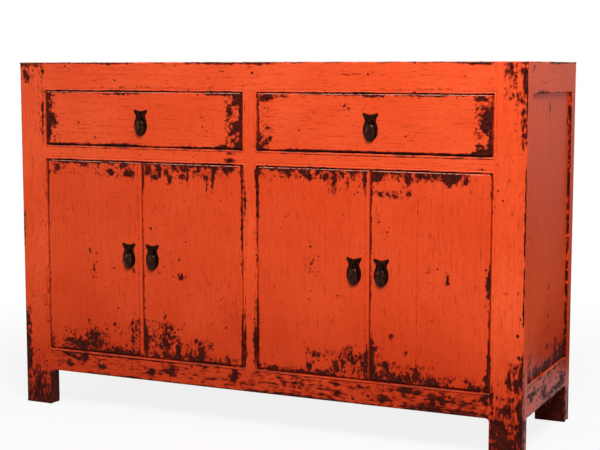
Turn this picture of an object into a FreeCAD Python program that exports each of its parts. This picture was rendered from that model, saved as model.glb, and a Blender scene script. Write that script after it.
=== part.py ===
import FreeCAD, Part
import os

os.makedirs("parts", exist_ok=True)
V = FreeCAD.Vector

# A lacquered sideboard: two drawers over two pairs of doors, on short legs.
# Millimetres. X runs along the width, -Y is the front, Z is up, and the origin
# is on the floor under the middle of the whole object, pulls included.

# --- overall ---
width = 1356.0
depth = 430.0  # of the wooden body, without the pulls
height = 900.0
leg_height = 94.0  # clear height under the bottom rails

# --- frame members ---
post_width = 77.0  # seen from the front
post_depth = 38.0
rail_thickness = 38.0
top_rail_height = 72.0
middle_rail_height = 36.0
bottom_rail_height = 58.0
side_bottom_rail_height = 74.0
stile_width = 37.0
stile_offset = -7.0  # the middle stiles stand a little left of centre
drawer_opening_height = 140.0
rail_tenon_length = 28.0
stile_tenon_length = 15.0
tenon_thickness = 12.0
tenon_shoulder = 6.0
bracket_radius = 8.0  # the hollow corner where the bottom rail meets a leg
post_arris = 4.0

# --- panels and boards ---
panel_thickness = 10.0
panel_recess = 7.0  # behind the outer faces of the frame
panel_tongue = 8.0
top_board_thickness = 18.0
top_rebate = 12.0  # the ledge on the rails that carries the top boards
floor_board_thickness = 12.0
floor_drop = 12.0  # the floor's top below the top of the bottom rail
floor_tongue = 8.0
board_count = 3
shelf_thickness = 12.0
shelf_level = 392.0  # top of the shelf
shelf_setback = 60.0  # of the shelf's front edge behind the front of the frame
shelf_clearance = 0.5
bearer_size = 20.0

# --- drawers ---
front_recess = 1.0  # of the drawer and door faces behind the frame's face
drawer_gap = 2.5
drawer_front_thickness = 20.0
drawer_side_thickness = 12.0
drawer_lap = 12.0  # how far a side is let into the front
drawer_bottom_thickness = 6.0
drawer_bottom_rise = 9.0  # its underside above the runner
drawer_bottom_groove = 5.0
drawer_back_space = 30.0  # behind the drawer
drawer_top_space = 6.0  # over the sides
drawer_travel = 260.0
runner_height = 20.0
runner_ledge = 24.0  # the part of a runner under a drawer's side
runner_clearance = 0.3
guide_height = 20.0
guide_width = 20.0

# --- doors ---
door_gap = 3.0
door_thickness = 20.0
door_arris = 3.0
bead_width = 10.0  # the planed bead along the meeting edge of each left-hand leaf
bead_groove = 1.5
narrow_board_share = 0.4  # of a leaf's width, on its meeting side
pivot_radius = 6.0
pivot_clearance = 0.1
pivot_inset = 16.0  # from the hinge edge
pivot_setback = 8.0  # behind the leaf's face
pivot_length = 12.0  # out of the leaf's end
pivot_end_clearance = 0.3
batten_height = 40.0
batten_thickness = 14.0
batten_end_space = 30.0
batten_level = 90.0  # from each end of the leaf to the nearest batten edge

# --- stops ---
stop_length = 60.0
stop_thickness = 12.0
stop_height = 12.0
stop_clearance = 0.3
drawer_stop_height = 6.0
drawer_stop_inset = 90.0  # from each end of the drawer opening

# --- pulls ---
plate_width = 39.0  # across the two ears
plate_height = 66.0
plate_thickness = 1.5
ear_dip = 5.0  # of the top edge between the ears
waist_width = 27.0
waist_level = 17.0  # under the ears
belly_width = 37.0
belly_level = 42.0
tip_width = 6.0
eye_level = 20.0
eye_radius = 3.4
eye_bore = 1.6
eye_length = 4.0
eye_standoff = 3.7  # from the plate's face to the axis of the drop
shank_radius = 2.0
shank_clearance = 0.2
leg_length = 12.0  # each leg of the split pin, clenched behind the wood
leg_thickness = 1.2
leg_height_mm = 3.0
drop_pin_radius = 1.5
drop_cheek_gap = 0.3
drop_cheek_thickness = 2.6
drop_cheek_radius = 3.0
drop_width = 22.0
drop_length = 42.0
drop_top = 4.6  # below the axis
drop_front = 5.5  # in front of the axis
drop_back = 2.9  # behind the axis
drop_arris = 2.4
door_pull_level = 445.0  # the ears of the door pulls
door_pull_inset = 28.0  # from the flat face's edge to the pull's centre line
drawer_pull_drop = 45.0  # from the drawer opening's top to the ears

# --- levels and planes that follow ---
axis_out = plate_thickness + eye_standoff
pull_reach = axis_out + drop_front - front_recess
front_y = -(depth - pull_reach) / 2
back_y = front_y + depth
half = width / 2
drawer_top = height - top_rail_height
drawer_bottom = drawer_top - drawer_opening_height
door_top = drawer_bottom - middle_rail_height
door_bottom = leg_height + bottom_rail_height
face_y = front_y + front_recess
frame_back_y = front_y + rail_thickness
stile_left = stile_offset - stile_width / 2
stile_right = stile_offset + stile_width / 2
openings = {
    "left": (-half + post_width, stile_left),
    "right": (stile_right, half - post_width),
}
floor_top = door_bottom - floor_drop
inner_panel_y = back_y - panel_recess - panel_thickness
inner_panel_x = half - panel_recess - panel_thickness


def box(low, high):
    return Part.makeBox(high[0] - low[0], high[1] - low[1], high[2] - low[2], V(*low))


def cylinder(radius, start, along, length):
    return Part.makeCylinder(radius, length, V(*start), V(*along))


def rounded(shape, radius, chosen):
    """Round the edges whose two end points both pass the test."""
    edges = [e for e in shape.Edges if all(chosen(v.Point) for v in e.Vertexes)]
    return shape.makeFillet(radius, edges)


def member(low, high, axis, tenon_length):
    """A straight frame member along one axis, with a tenon on each end."""
    body = box(low, high)
    thin = 1 if axis != 1 else 0
    wide = 3 - axis - thin
    tenon_low = list(low)
    tenon_high = list(high)
    tenon_low[axis] = low[axis] - tenon_length
    tenon_high[axis] = high[axis] + tenon_length
    middle = (low[thin] + high[thin]) / 2
    tenon_low[thin] = middle - tenon_thickness / 2
    tenon_high[thin] = middle + tenon_thickness / 2
    tenon_low[wide] = low[wide] + tenon_shoulder
    tenon_high[wide] = high[wide] - tenon_shoulder
    return body.fuse(box(tenon_low, tenon_high)).removeSplitter()


def boards(low, high, count):
    """Boards side by side in Y, filling a rectangle."""
    step = (high[1] - low[1]) / count
    return [
        box((low[0], low[1] + i * step, low[2]), (high[0], low[1] + (i + 1) * step, high[2]))
        for i in range(count)
    ]


def cut_all(shape, tools):
    for tool in tools:
        shape = shape.cut(tool)
    return shape


def write(name, shapes):
    solids = [s for shape in shapes for s in shape.Solids]
    whole = solids[0] if len(solids) == 1 else Part.makeCompound(solids)
    whole.exportStep("parts/" + name + ".step")


# --- posts ---
def make_posts():
    made = {}
    for end, low_y in (("front", front_y), ("back", back_y - post_depth)):
        outer_y = front_y if end == "front" else back_y
        for side, low_x in (("left", -half), ("right", half - post_width)):
            outer_x = -half if side == "left" else half
            post = box((low_x, low_y, 0), (low_x + post_width, low_y + post_depth, height))
            post = rounded(
                post,
                post_arris,
                lambda p: abs(p.x - outer_x) < 0.01 and abs(p.y - outer_y) < 0.01,
            )
            made["post_" + end + "_" + side] = post
    return made


# --- rails and stiles ---
def make_rails():
    inner = half - post_width
    front = (front_y, frame_back_y)
    back = (back_y - rail_thickness, back_y)
    made = {}
    for end, (low_y, high_y) in (("front", front), ("back", back)):
        top_low = (-inner, low_y, drawer_top)
        made["top_rail_" + end] = member(top_low, (inner, high_y, height), 0, rail_tenon_length)
        bottom = member((-inner, low_y, leg_height), (inner, high_y, door_bottom), 0, rail_tenon_length)
        made["bottom_rail_" + end] = bottom.fuse(make_brackets(low_y, high_y)).removeSplitter()
    for side, low_x in (("left", -half), ("right", half - rail_thickness)):
        high_x = low_x + rail_thickness
        low_y = front_y + post_depth
        high_y = back_y - post_depth
        made["top_rail_" + side] = member(
            (low_x, low_y, drawer_top), (high_x, high_y, height), 1, rail_tenon_length
        )
        side_top = leg_height + side_bottom_rail_height
        made["bottom_rail_" + side] = member(
            (low_x, low_y, leg_height), (high_x, high_y, side_top), 1, rail_tenon_length
        )
    made["middle_rail"] = member(
        (-inner, front_y, door_top), (inner, frame_back_y, drawer_bottom), 0, rail_tenon_length
    )
    return made


def make_brackets(low_y, high_y):
    """The two hollow corners under a long bottom rail, beside the legs."""
    r = bracket_radius
    pieces = []
    for sign in (-1, 1):
        corner = sign * (half - post_width)
        away = corner - sign * r
        block = box((min(corner, away), low_y, leg_height - r), (max(corner, away), high_y, leg_height))
        hollow = cylinder(r, (away, low_y, leg_height - r), (0, 1, 0), high_y - low_y)
        pieces.append(block.cut(hollow))
    return pieces


def make_stiles():
    back_low = back_y - rail_thickness
    spans = {
        "drawer_divider": (front_y, frame_back_y, drawer_bottom, drawer_top),
        "door_stile": (front_y, frame_back_y, door_bottom, door_top),
        "back_stile": (back_low, back_y, door_bottom, drawer_top),
    }
    return {
        name: member((stile_left, y0, z0), (stile_right, y1, z1), 2, stile_tenon_length)
        for name, (y0, y1, z0, z1) in spans.items()
    }


# --- panels and boards of the body ---
def make_panels():
    low_y = front_y + post_depth - panel_tongue
    high_y = back_y - post_depth + panel_tongue
    low_z = leg_height + side_bottom_rail_height - panel_tongue
    high_z = drawer_top + panel_tongue
    made = {}
    for side, x in (("left", -half + panel_recess), ("right", inner_panel_x)):
        made["side_panel_" + side] = box((x, low_y, low_z), (x + panel_thickness, high_y, high_z))
    for side, (x0, x1) in openings.items():
        made["back_panel_" + side] = box(
            (x0 - panel_tongue, inner_panel_y, door_bottom - panel_tongue),
            (x1 + panel_tongue, inner_panel_y + panel_thickness, high_z),
        )
    return made


def make_top_boards():
    inset = rail_thickness - top_rebate
    return boards(
        (-half + inset, front_y + inset, height - top_board_thickness),
        (half - inset, back_y - inset, height),
        board_count,
    )


def make_floor_boards():
    inset = rail_thickness - floor_tongue
    return boards(
        (-half + inset, front_y + inset, floor_top - floor_board_thickness),
        (half - inset, back_y - inset, floor_top),
        board_count,
    )


def make_shelf():
    reach = inner_panel_x - shelf_clearance
    return boards(
        (-reach, front_y + shelf_setback, shelf_level - shelf_thickness),
        (reach, inner_panel_y - shelf_clearance, shelf_level),
        board_count,
    )


def make_bearers():
    low_z = shelf_level - shelf_thickness - bearer_size
    low_y = front_y + post_depth
    high_y = back_y - post_depth
    starts = (-inner_panel_x, stile_offset - bearer_size / 2, inner_panel_x - bearer_size)
    return [
        box((x, low_y, low_z), (x + bearer_size, high_y, low_z + bearer_size)) for x in starts
    ]


def make_runners():
    """Rebated runners: a ledge under the drawers' sides and a guide beside them."""
    low_y = frame_back_y
    high_y = back_y - rail_thickness
    base = drawer_bottom - runner_height
    guide_top = drawer_bottom + guide_height
    edge = half - post_width
    spans = (
        (-inner_panel_x, -edge + runner_ledge, -edge - guide_width, -edge),
        (stile_left - runner_ledge, stile_right + runner_ledge, stile_left, stile_right),
        (edge - runner_ledge, inner_panel_x, edge, edge + guide_width),
    )
    made = []
    for x0, x1, guide0, guide1 in spans:
        ledge = box((x0, low_y, base), (x1, high_y, drawer_bottom))
        guide = box((guide0, low_y, drawer_bottom), (guide1, high_y, guide_top))
        made.append(ledge.fuse(guide).removeSplitter())
    return made


def make_stops():
    """Blocks that catch the closed doors at their meeting edges, and the drawer fronts."""
    door_y = face_y + door_thickness + stop_clearance
    drawer_y = face_y + drawer_front_thickness + stop_clearance
    made = []
    for x0, x1 in openings.values():
        middle = (x0 + x1) / 2
        for z in (door_bottom, door_top - stop_height):
            made.append(
                box(
                    (middle - stop_length / 2, door_y, z),
                    (middle + stop_length / 2, door_y + stop_thickness, z + stop_height),
                )
            )
        for x in (x0 + drawer_stop_inset, x1 - drawer_stop_inset - stop_length):
            made.append(
                box(
                    (x, drawer_y, drawer_bottom),
                    (x + stop_length, drawer_y + stop_thickness, drawer_bottom + drawer_stop_height),
                )
            )
    return made


# --- pulls ---
def make_pull(x, ear_z, wood_thickness):
    """An iron pull on the wooden face at face_y: its plate, split pin and drop."""
    axis_y = face_y - axis_out
    axis_z = ear_z - eye_level
    shank = cylinder(shank_radius, (x, axis_y, axis_z), (0, 1, 0), axis_out + wood_thickness)
    hole = cylinder(
        shank_radius + shank_clearance, (x, axis_y, axis_z), (0, 1, 0), axis_out + wood_thickness
    )
    eye = cylinder(eye_radius, (x - eye_length / 2, axis_y, axis_z), (1, 0, 0), eye_length)
    bore = cylinder(eye_bore, (x - eye_length / 2, axis_y, axis_z), (1, 0, 0), eye_length)
    back = face_y + wood_thickness
    legs = box(
        (x - leg_length, back, axis_z - leg_height_mm / 2),
        (x + leg_length, back + leg_thickness, axis_z + leg_height_mm / 2),
    )
    pin = shank.fuse([eye, legs]).removeSplitter().cut(bore)
    plate = make_plate(x, ear_z).cut(hole)
    return plate, pin, make_drop(x, axis_y, axis_z), hole


def make_plate(x, ear_z):
    """Two ears over a waist and a belly that narrows to a blunt tip."""
    y = face_y

    def at(side, half_width, below):
        return V(x + side * half_width, y, ear_z - below)

    edges = []
    ear, waist, belly = plate_width / 2, waist_width / 2, belly_width / 2
    for side in (-1, 1):
        edges += [
            Part.Arc(at(side, 0, ear_dip), at(side, ear * 0.55, ear_dip * 0.72), at(side, ear, 0)).toShape(),
            Part.Arc(
                at(side, ear, 0),
                at(side, (ear + waist) / 2 - 1, waist_level * 0.6),
                at(side, waist, waist_level),
            ).toShape(),
            Part.Arc(
                at(side, waist, waist_level),
                at(side, belly - 1, (waist_level + belly_level) / 2),
                at(side, belly, belly_level),
            ).toShape(),
            Part.Arc(
                at(side, belly, belly_level),
                at(side, belly * 0.68, (belly_level + plate_height) / 2 + 2),
                at(side, tip_width / 2, plate_height),
            ).toShape(),
        ]
    edges.append(
        Part.makeLine(at(-1, tip_width / 2, plate_height), at(1, tip_width / 2, plate_height))
    )
    outline = Part.Wire(Part.__sortEdges__(edges))
    return Part.Face(outline).extrude(V(0, -plate_thickness, 0))


def make_drop(x, axis_y, axis_z):
    """A flat oval drop, forked over the eye, with a cross pin through it."""
    outer = eye_length / 2 + drop_cheek_gap + drop_cheek_thickness
    centre_z = axis_z - drop_top - drop_length / 2
    oval = Part.Ellipse(
        V(x, axis_y - drop_front, centre_z + drop_length / 2),
        V(x + drop_width / 2, axis_y - drop_front, centre_z),
        V(x, axis_y - drop_front, centre_z),
    )
    body = Part.Face(Part.Wire(oval.toShape())).extrude(V(0, drop_front + drop_back, 0))
    body = body.makeFillet(drop_arris, [e for e in body.Edges if len(e.Vertexes) == 1])
    pin = cylinder(drop_pin_radius, (x - outer, axis_y, axis_z), (1, 0, 0), 2 * outer)
    cheeks = []
    for side in (-1, 1):
        start = x - outer if side < 0 else x + outer - drop_cheek_thickness
        knuckle = cylinder(drop_cheek_radius, (start, axis_y, axis_z), (1, 0, 0), drop_cheek_thickness)
        arm = box(
            (start, axis_y - drop_cheek_radius, axis_z - drop_top - drop_arris * 2),
            (start + drop_cheek_thickness, axis_y + drop_back - drop_arris / 2, axis_z),
        )
        cheeks += [knuckle, arm]
    return body.fuse([pin] + cheeks).removeSplitter()


# --- drawers ---
def make_drawer(side):
    x0, x1 = openings[side]
    low_x = x0 + drawer_gap
    high_x = x1 - drawer_gap
    low_z = drawer_bottom + drawer_gap
    high_z = drawer_top - drawer_gap
    box_low = drawer_bottom + runner_clearance
    box_high = drawer_top - drawer_top_space
    inner_y = face_y + drawer_front_thickness
    end_y = back_y - drawer_back_space
    front = box((low_x, face_y, low_z), (high_x, inner_y, high_z))
    front = rounded(front, door_arris, lambda p: abs(p.y - face_y) < 0.01)
    sides = []
    for x in (low_x, high_x - drawer_side_thickness):
        sides.append(
            box((x, inner_y - drawer_lap, box_low), (x + drawer_side_thickness, end_y, box_high))
        )
    # a side is let into the front only where the front has wood
    laps = [s.common(front) for s in sides]
    under = [
        s.cut(
            box(
                (s.BoundBox.XMin, s.BoundBox.YMin, box_low),
                (s.BoundBox.XMax, inner_y, low_z),
            )
        )
        for s in sides
    ]
    front = cut_all(front, laps)
    inner_low = low_x + drawer_side_thickness
    inner_high = high_x - drawer_side_thickness
    bottom_z = drawer_bottom + drawer_bottom_rise
    bottom = box(
        (inner_low - drawer_bottom_groove, inner_y - drawer_bottom_groove, bottom_z),
        (inner_high + drawer_bottom_groove, end_y, bottom_z + drawer_bottom_thickness),
    )
    back = box(
        (inner_low, end_y - drawer_side_thickness, bottom_z + drawer_bottom_thickness),
        (inner_high, end_y, box_high),
    )
    front = front.cut(bottom)
    under = [s.cut(bottom) for s in under]
    plate, pin, drop, hole = make_pull(
        (x0 + x1) / 2, drawer_top - drawer_pull_drop, drawer_front_thickness
    )
    name = "drawer_" + side
    return {
        name + "_front": [front.cut(hole)],
        name + "_sides": under,
        name + "_back": [back],
        name + "_bottom": [bottom],
        name + "_pull_plate": [plate],
        name + "_split_pin": [pin],
        name + "_pull_drop": [drop],
    }


# --- doors ---
def make_door(number, opening, hinge):
    """One leaf: hinge is -1 for a leaf that turns at its left edge, 1 at its right."""
    x0, x1 = openings[opening]
    middle = (x0 + x1) / 2
    hinge_x = x0 + door_gap if hinge < 0 else x1 - door_gap
    meeting_x = middle + hinge * door_gap / 2
    low_z = door_bottom + door_gap
    high_z = door_top - door_gap
    back = face_y + door_thickness
    low_x = min(hinge_x, meeting_x)
    high_x = max(hinge_x, meeting_x)
    leaf = box((low_x, face_y, low_z), (high_x, back, high_z))
    leaf = rounded(leaf, door_arris, lambda p: abs(p.y - face_y) < 0.01)
    pivot_x = hinge_x - hinge * pivot_inset
    pivot_y = face_y + pivot_setback
    pins = [
        cylinder(pivot_radius, (pivot_x, pivot_y, z), (0, 0, way), pivot_length)
        for z, way in ((high_z, 1), (low_z, -1))
    ]
    leaf = leaf.fuse(pins).removeSplitter()
    edge_x = meeting_x
    if hinge < 0:
        edge_x = meeting_x - bead_width
        leaf = leaf.cut(
            box((edge_x - bead_groove, face_y - 1, low_z), (edge_x, face_y + bead_groove, high_z))
        )
    plate, pin, drop, hole = make_pull(
        edge_x + hinge * door_pull_inset, door_pull_level, door_thickness
    )
    leaf = leaf.cut(hole)
    joint_x = meeting_x + hinge * (high_x - low_x) * narrow_board_share
    reach = pivot_length + 1
    planks = [
        leaf.common(box((a, face_y, low_z - reach), (b, back, high_z + reach)))
        for a, b in ((low_x, joint_x), (joint_x, high_x))
    ]
    battens = [
        box(
            (low_x + batten_end_space, back, z),
            (high_x - batten_end_space, back + batten_thickness, z + batten_height),
        )
        for z in (low_z + batten_level, high_z - batten_level - batten_height)
    ]
    name = "door_" + str(number)
    sockets = [
        cylinder(
            pivot_radius + pivot_clearance,
            (pivot_x, pivot_y, z),
            (0, 0, way),
            pivot_length - door_gap + pivot_end_clearance,
        )
        for z, way in ((door_top, 1), (door_bottom, -1))
    ]
    nodes = {
        name + "_boards": planks,
        name + "_battens": battens,
        name + "_pull_plate": [plate],
        name + "_split_pin": [pin],
        name + "_pull_drop": [drop],
    }
    return nodes, sockets


def build():
    posts = make_posts()
    rails = make_rails()
    stiles = make_stiles()
    panels = make_panels()
    top = make_top_boards()
    floor = make_floor_boards()
    shelf = make_shelf()
    nodes = {}
    sockets = []
    for side in openings:
        nodes.update(make_drawer(side))
    for number, (opening, hinge) in enumerate(
        (("left", -1), ("left", 1), ("right", -1), ("right", 1)), start=1
    ):
        door, holes = make_door(number, opening, hinge)
        nodes.update(door)
        sockets += holes
    # grooves, rebates, mortises and sockets are cut by the pieces that fill them
    for name in stiles:
        stiles[name] = cut_all(stiles[name], panels.values())
    for name in rails:
        tools = list(panels.values()) + top + floor + list(stiles.values()) + sockets
        rails[name] = cut_all(rails[name], tools)
    for name in posts:
        posts[name] = cut_all(posts[name], list(panels.values()) + top + list(rails.values()))
    around = list(posts.values()) + list(stiles.values())
    floor = [cut_all(b, around) for b in floor]
    shelf = [cut_all(b, around + list(panels.values())) for b in shelf]
    for group in (posts, rails, stiles, panels):
        nodes.update({name: [shape] for name, shape in group.items()})
    nodes["top_boards"] = top
    nodes["floor_boards"] = floor
    nodes["shelf_boards"] = shelf
    nodes["shelf_bearers"] = make_bearers()
    nodes["drawer_runners"] = make_runners()
    nodes["door_and_drawer_stops"] = make_stops()
    for name, shapes in nodes.items():
        write(name, shapes)
    return nodes


if __name__ == "__main__":
    build()
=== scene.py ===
import math

import bmesh
import bpy
import numpy as np
from mathutils import Matrix, Vector


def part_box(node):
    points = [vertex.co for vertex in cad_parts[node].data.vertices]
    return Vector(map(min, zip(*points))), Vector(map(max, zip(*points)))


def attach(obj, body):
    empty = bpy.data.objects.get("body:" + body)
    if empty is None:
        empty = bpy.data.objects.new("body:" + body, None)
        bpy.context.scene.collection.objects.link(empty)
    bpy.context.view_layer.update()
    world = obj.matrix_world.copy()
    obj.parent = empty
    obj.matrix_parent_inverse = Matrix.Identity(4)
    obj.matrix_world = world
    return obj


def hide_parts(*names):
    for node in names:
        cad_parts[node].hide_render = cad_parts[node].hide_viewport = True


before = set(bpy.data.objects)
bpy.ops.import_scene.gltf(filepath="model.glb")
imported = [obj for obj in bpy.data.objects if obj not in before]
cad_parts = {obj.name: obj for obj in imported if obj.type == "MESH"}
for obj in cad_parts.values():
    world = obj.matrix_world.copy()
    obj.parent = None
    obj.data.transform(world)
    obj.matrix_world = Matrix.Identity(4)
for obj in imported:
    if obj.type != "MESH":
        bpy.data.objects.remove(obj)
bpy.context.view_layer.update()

mm = 0.001
print("frame loaded:", len(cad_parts), "nodes")


# small helpers: colours, shader nodes, meshes

def hexLinear(text):
    values = [int(text[i:i + 2], 16) / 255 for i in (1, 3, 5)]
    return [v / 12.92 if v <= 0.04045 else ((v + 0.055) / 1.055) ** 2.4 for v in values] + [1.0]


def addNode(tree, kind, links=None, out=None, **settings):
    # links holds socket values and sockets to join, settings the node's own options, and
    # out names the output socket to return in place of the node
    node = tree.nodes.new(kind)
    for key, value in settings.items():
        setattr(node, key, value)
    for key, value in (links or {}).items():
        if isinstance(value, bpy.types.NodeSocket):
            tree.links.new(value, node.inputs[key])
        else:
            node.inputs[key].default_value = value
    return node if out is None else node.outputs[out]


def newMaterial(name):
    material = bpy.data.materials.new(name)
    material.use_nodes = True
    tree = material.node_tree
    tree.nodes.clear()
    output = addNode(tree, "ShaderNodeOutputMaterial")
    return material, tree, output


def grainNoise(tree, grain, across, along, detail, rough, shift=0.0):
    # across and along are the pattern's sizes in millimetres over and with the grain
    scale = [1000 / across] * 3
    scale["xyz".index(grain)] = 1000 / along
    where = addNode(tree, "ShaderNodeTexCoord", out="Object")
    mapped = addNode(tree, "ShaderNodeMapping", {
        "Vector": where, "Scale": scale, "Location": [shift, shift * 0.7, shift * 1.3]}, "Vector")
    return addNode(tree, "ShaderNodeTexNoise", {"Vector": mapped, "Scale": 1.0, "Detail": detail,
                                                "Roughness": rough}, "Fac")


# lacquer over a dark undercoat: old hand-brushed red lacquer, semi-gloss, rubbed and
# chipped through to a near-black ground, with the wood's grain telegraphing through
lacquerLook = {
    # the last colour on the next line is a painted highlight, laid on upward-looking arrises
    "red": "#EE5226", "bright": "#F65B2F", "deep": "#CF3812", "stain": "#851C0B", "paintedEdgeHighlight": "#F4A38C",
    "undercoat": "#521408", "black": "#2C0804", "bare": "#632C1C",
    "streakAcross": 3.4, "streakAlong": 27.0, "chipAcross": 7.4, "patchAcross": 17.0, "patchAlong": 26.0,
    "hairAcross": 1.5, "hairAlong": 38.0, "toneAcross": 7.0, "toneAlong": 120.0,
    "mottleAcross": 6.0, "mottleAlong": 15.0, "driftAcross": 190.0, "driftAlong": 210.0,
    "wearGain": 0.84, "wearStart": -0.04, "streakGain": 0.50, "chipGain": 0.95, "patchGain": 0.50,
    "dotCell": 12.5, "dotShare": 1.7, "dotStart": -0.13, "dotLeast": 0.09, "dotSpread": 0.24,
    # the first four values on the next line darken the red towards the floor, for dirt and painted shade
    "dirtAndShadeTop": 0.50, "dirtAndShadeFull": 0.16, "dirtAndShadeDeep": 0.72, "dirtAndShadeStain": 0.20, "haloStain": 0.8,
    "roughness": 0.36, "roughSpread": 0.14, "wornRoughness": 0.6, "gloss": 0.075,
}


def brushedLacquer(name, grain, tint=0.0, shift=0.0, hairDepth=0.75, chipAlong=7.5):
    # tint above 0 deepens the red, as on the doors; hairDepth is how dark the grain lines are;
    # chipAlong is a chip's length with the grain
    look = lacquerLook
    material, tree, output = newMaterial(name)
    wear = addNode(tree, "ShaderNodeAttribute", out="Fac", attribute_name="wear")
    streak = grainNoise(tree, grain, look["streakAcross"], look["streakAlong"], 5.0, 0.62, shift)
    chip = grainNoise(tree, grain, look["chipAcross"], chipAlong, 1.8, 0.45, shift + 3)
    patch = grainNoise(tree, grain, look["patchAcross"], look["patchAlong"], 3.0, 0.5, 6.0)
    level = addNode(tree, "ShaderNodeMath", {0: wear, 1: look["wearGain"], 2: look["wearStart"]}, 0,
                    operation="MULTIPLY_ADD")
    for field, gain in ((streak, "streakGain"), (chip, "chipGain"), (patch, "patchGain")):
        centred = addNode(tree, "ShaderNodeMath", {0: field, 1: 0.5}, 0, operation="SUBTRACT")
        level = addNode(tree, "ShaderNodeMath", {0: centred, 1: look[gain], 2: level}, 0,
                        operation="MULTIPLY_ADD")

    # round chips, more of them where the wear is stronger
    where = addNode(tree, "ShaderNodeTexCoord", out="Object")
    cells = addNode(tree, "ShaderNodeTexVoronoi", {"Vector": where, "Scale": 1000 / look["dotCell"],
                                                   "Randomness": 1.0}).outputs
    chances = addNode(tree, "ShaderNodeSeparateColor", {"Color": cells["Color"]}).outputs
    chance = addNode(tree, "ShaderNodeMath", {0: wear, 1: look["dotShare"], 2: look["dotStart"]}, 0,
                     operation="MULTIPLY_ADD")
    present = addNode(tree, "ShaderNodeMath", {0: chances["Red"], 1: chance}, 0, operation="LESS_THAN")
    size = addNode(tree, "ShaderNodeMath", {0: chances["Green"], 1: look["dotSpread"],
                                            2: look["dotLeast"]}, 0, operation="MULTIPLY_ADD")
    uneven = addNode(tree, "ShaderNodeMath", {0: chip, 1: 0.5, 2: -0.25}, 0, operation="MULTIPLY_ADD")
    reach = addNode(tree, "ShaderNodeMath", {0: cells["Distance"], 1: uneven}, 0, operation="ADD")
    edge = addNode(tree, "ShaderNodeMath", {0: size, 1: reach}, 0, operation="SUBTRACT")

    # brushed tone: slow drift, soft streaks with the grain, fine dark hairs, and darkening towards the floor
    # that stands for dirt and painted shade
    drift = grainNoise(tree, "z", look["driftAcross"], look["driftAlong"], 3.0, 0.55, 9.0)
    tones = grainNoise(tree, grain, look["toneAcross"], look["toneAlong"], 5.0, 0.68, shift + 12)
    mottle = grainNoise(tree, grain, look["mottleAcross"], look["mottleAlong"], 4.0, 0.6, shift + 18)
    hairs = grainNoise(tree, grain, look["hairAcross"], look["hairAlong"], 3.0, 0.6, shift + 15)
    height = addNode(tree, "ShaderNodeSeparateXYZ", {"Vector": where}, "Z")
    aboveFloor = addNode(tree, "ShaderNodeMath", {0: drift, 1: 0.25, 2: height}, 0,
                         operation="MULTIPLY_ADD")
    # nearness to an arris and an upward normal place the painted highlight below
    arris = addNode(tree, "ShaderNodeAttribute", out="Fac", attribute_name="arris")
    normal = addNode(tree, "ShaderNodeNewGeometry", out="Normal")
    upward = addNode(tree, "ShaderNodeSeparateXYZ", {"Vector": normal}, "Z")
    soft = {}
    for label, field, low, high, least, most in (
            ("worn", level, 0.40, 0.46, 0, 1), ("halo", level, 0.20, 0.41, 0, 1),
            ("dot", edge, -0.02, 0.05, 0, present), ("dotHalo", edge, -0.16, 0.02, 0, present),
            ("bright", drift, 0.35, 0.68, 0, 1), ("tone", tones, 0.40, 0.72, 0, 0.22),
            ("mottle", mottle, 0.50, 0.72, 0, 0.40), ("hair", hairs, 0.60, 0.67, 0, hairDepth),
            ("hairPlace", tones, 0.38, 0.58, 0, 1), ("black", mottle, 0.38, 0.62, 0, 1),
            ("bare", tones, 0.58, 0.74, 0, 0.35), ("upward", upward, 0.1, 0.75, 0, 1),
            ("paintedEdgeHighlight", chip, 0.40, 0.56, 0.15, 0.95),
            ("dirtAndShade", aboveFloor, look["dirtAndShadeTop"], look["dirtAndShadeFull"], 0, 1)):
        soft[label] = addNode(tree, "ShaderNodeMapRange", {0: field, 1: low, 2: high, 3: least, 4: most}, 0,
                              interpolation_type="SMOOTHSTEP")
    worn = addNode(tree, "ShaderNodeMath", {0: soft["worn"], 1: soft["dot"]}, 0, operation="MAXIMUM")
    halo = addNode(tree, "ShaderNodeMath", {0: soft["halo"], 1: soft["dotHalo"]}, 0, operation="MAXIMUM")
    for label, first, second in (("dirtAndShadeDeep", soft["dirtAndShade"], look["dirtAndShadeDeep"]),
                                 ("dirtAndShadeStain", soft["dirtAndShade"], look["dirtAndShadeStain"]),
                                 ("hairLine", soft["hair"], soft["hairPlace"]),
                                 ("halo", halo, look["haloStain"]),
                                 ("upwardArrisHighlight", arris, soft["upward"])):
        soft[label] = addNode(tree, "ShaderNodeMath", {0: first, 1: second}, 0, operation="MULTIPLY")
    # painted highlight: arrises that look upward are painted a pale, milky colour, broken up by the chip
    # noise, in place of the gloss they catch from above
    pale = addNode(tree, "ShaderNodeMath", {0: soft["upwardArrisHighlight"], 1: soft["paintedEdgeHighlight"]}, 0,
                   operation="MULTIPLY")

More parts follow.
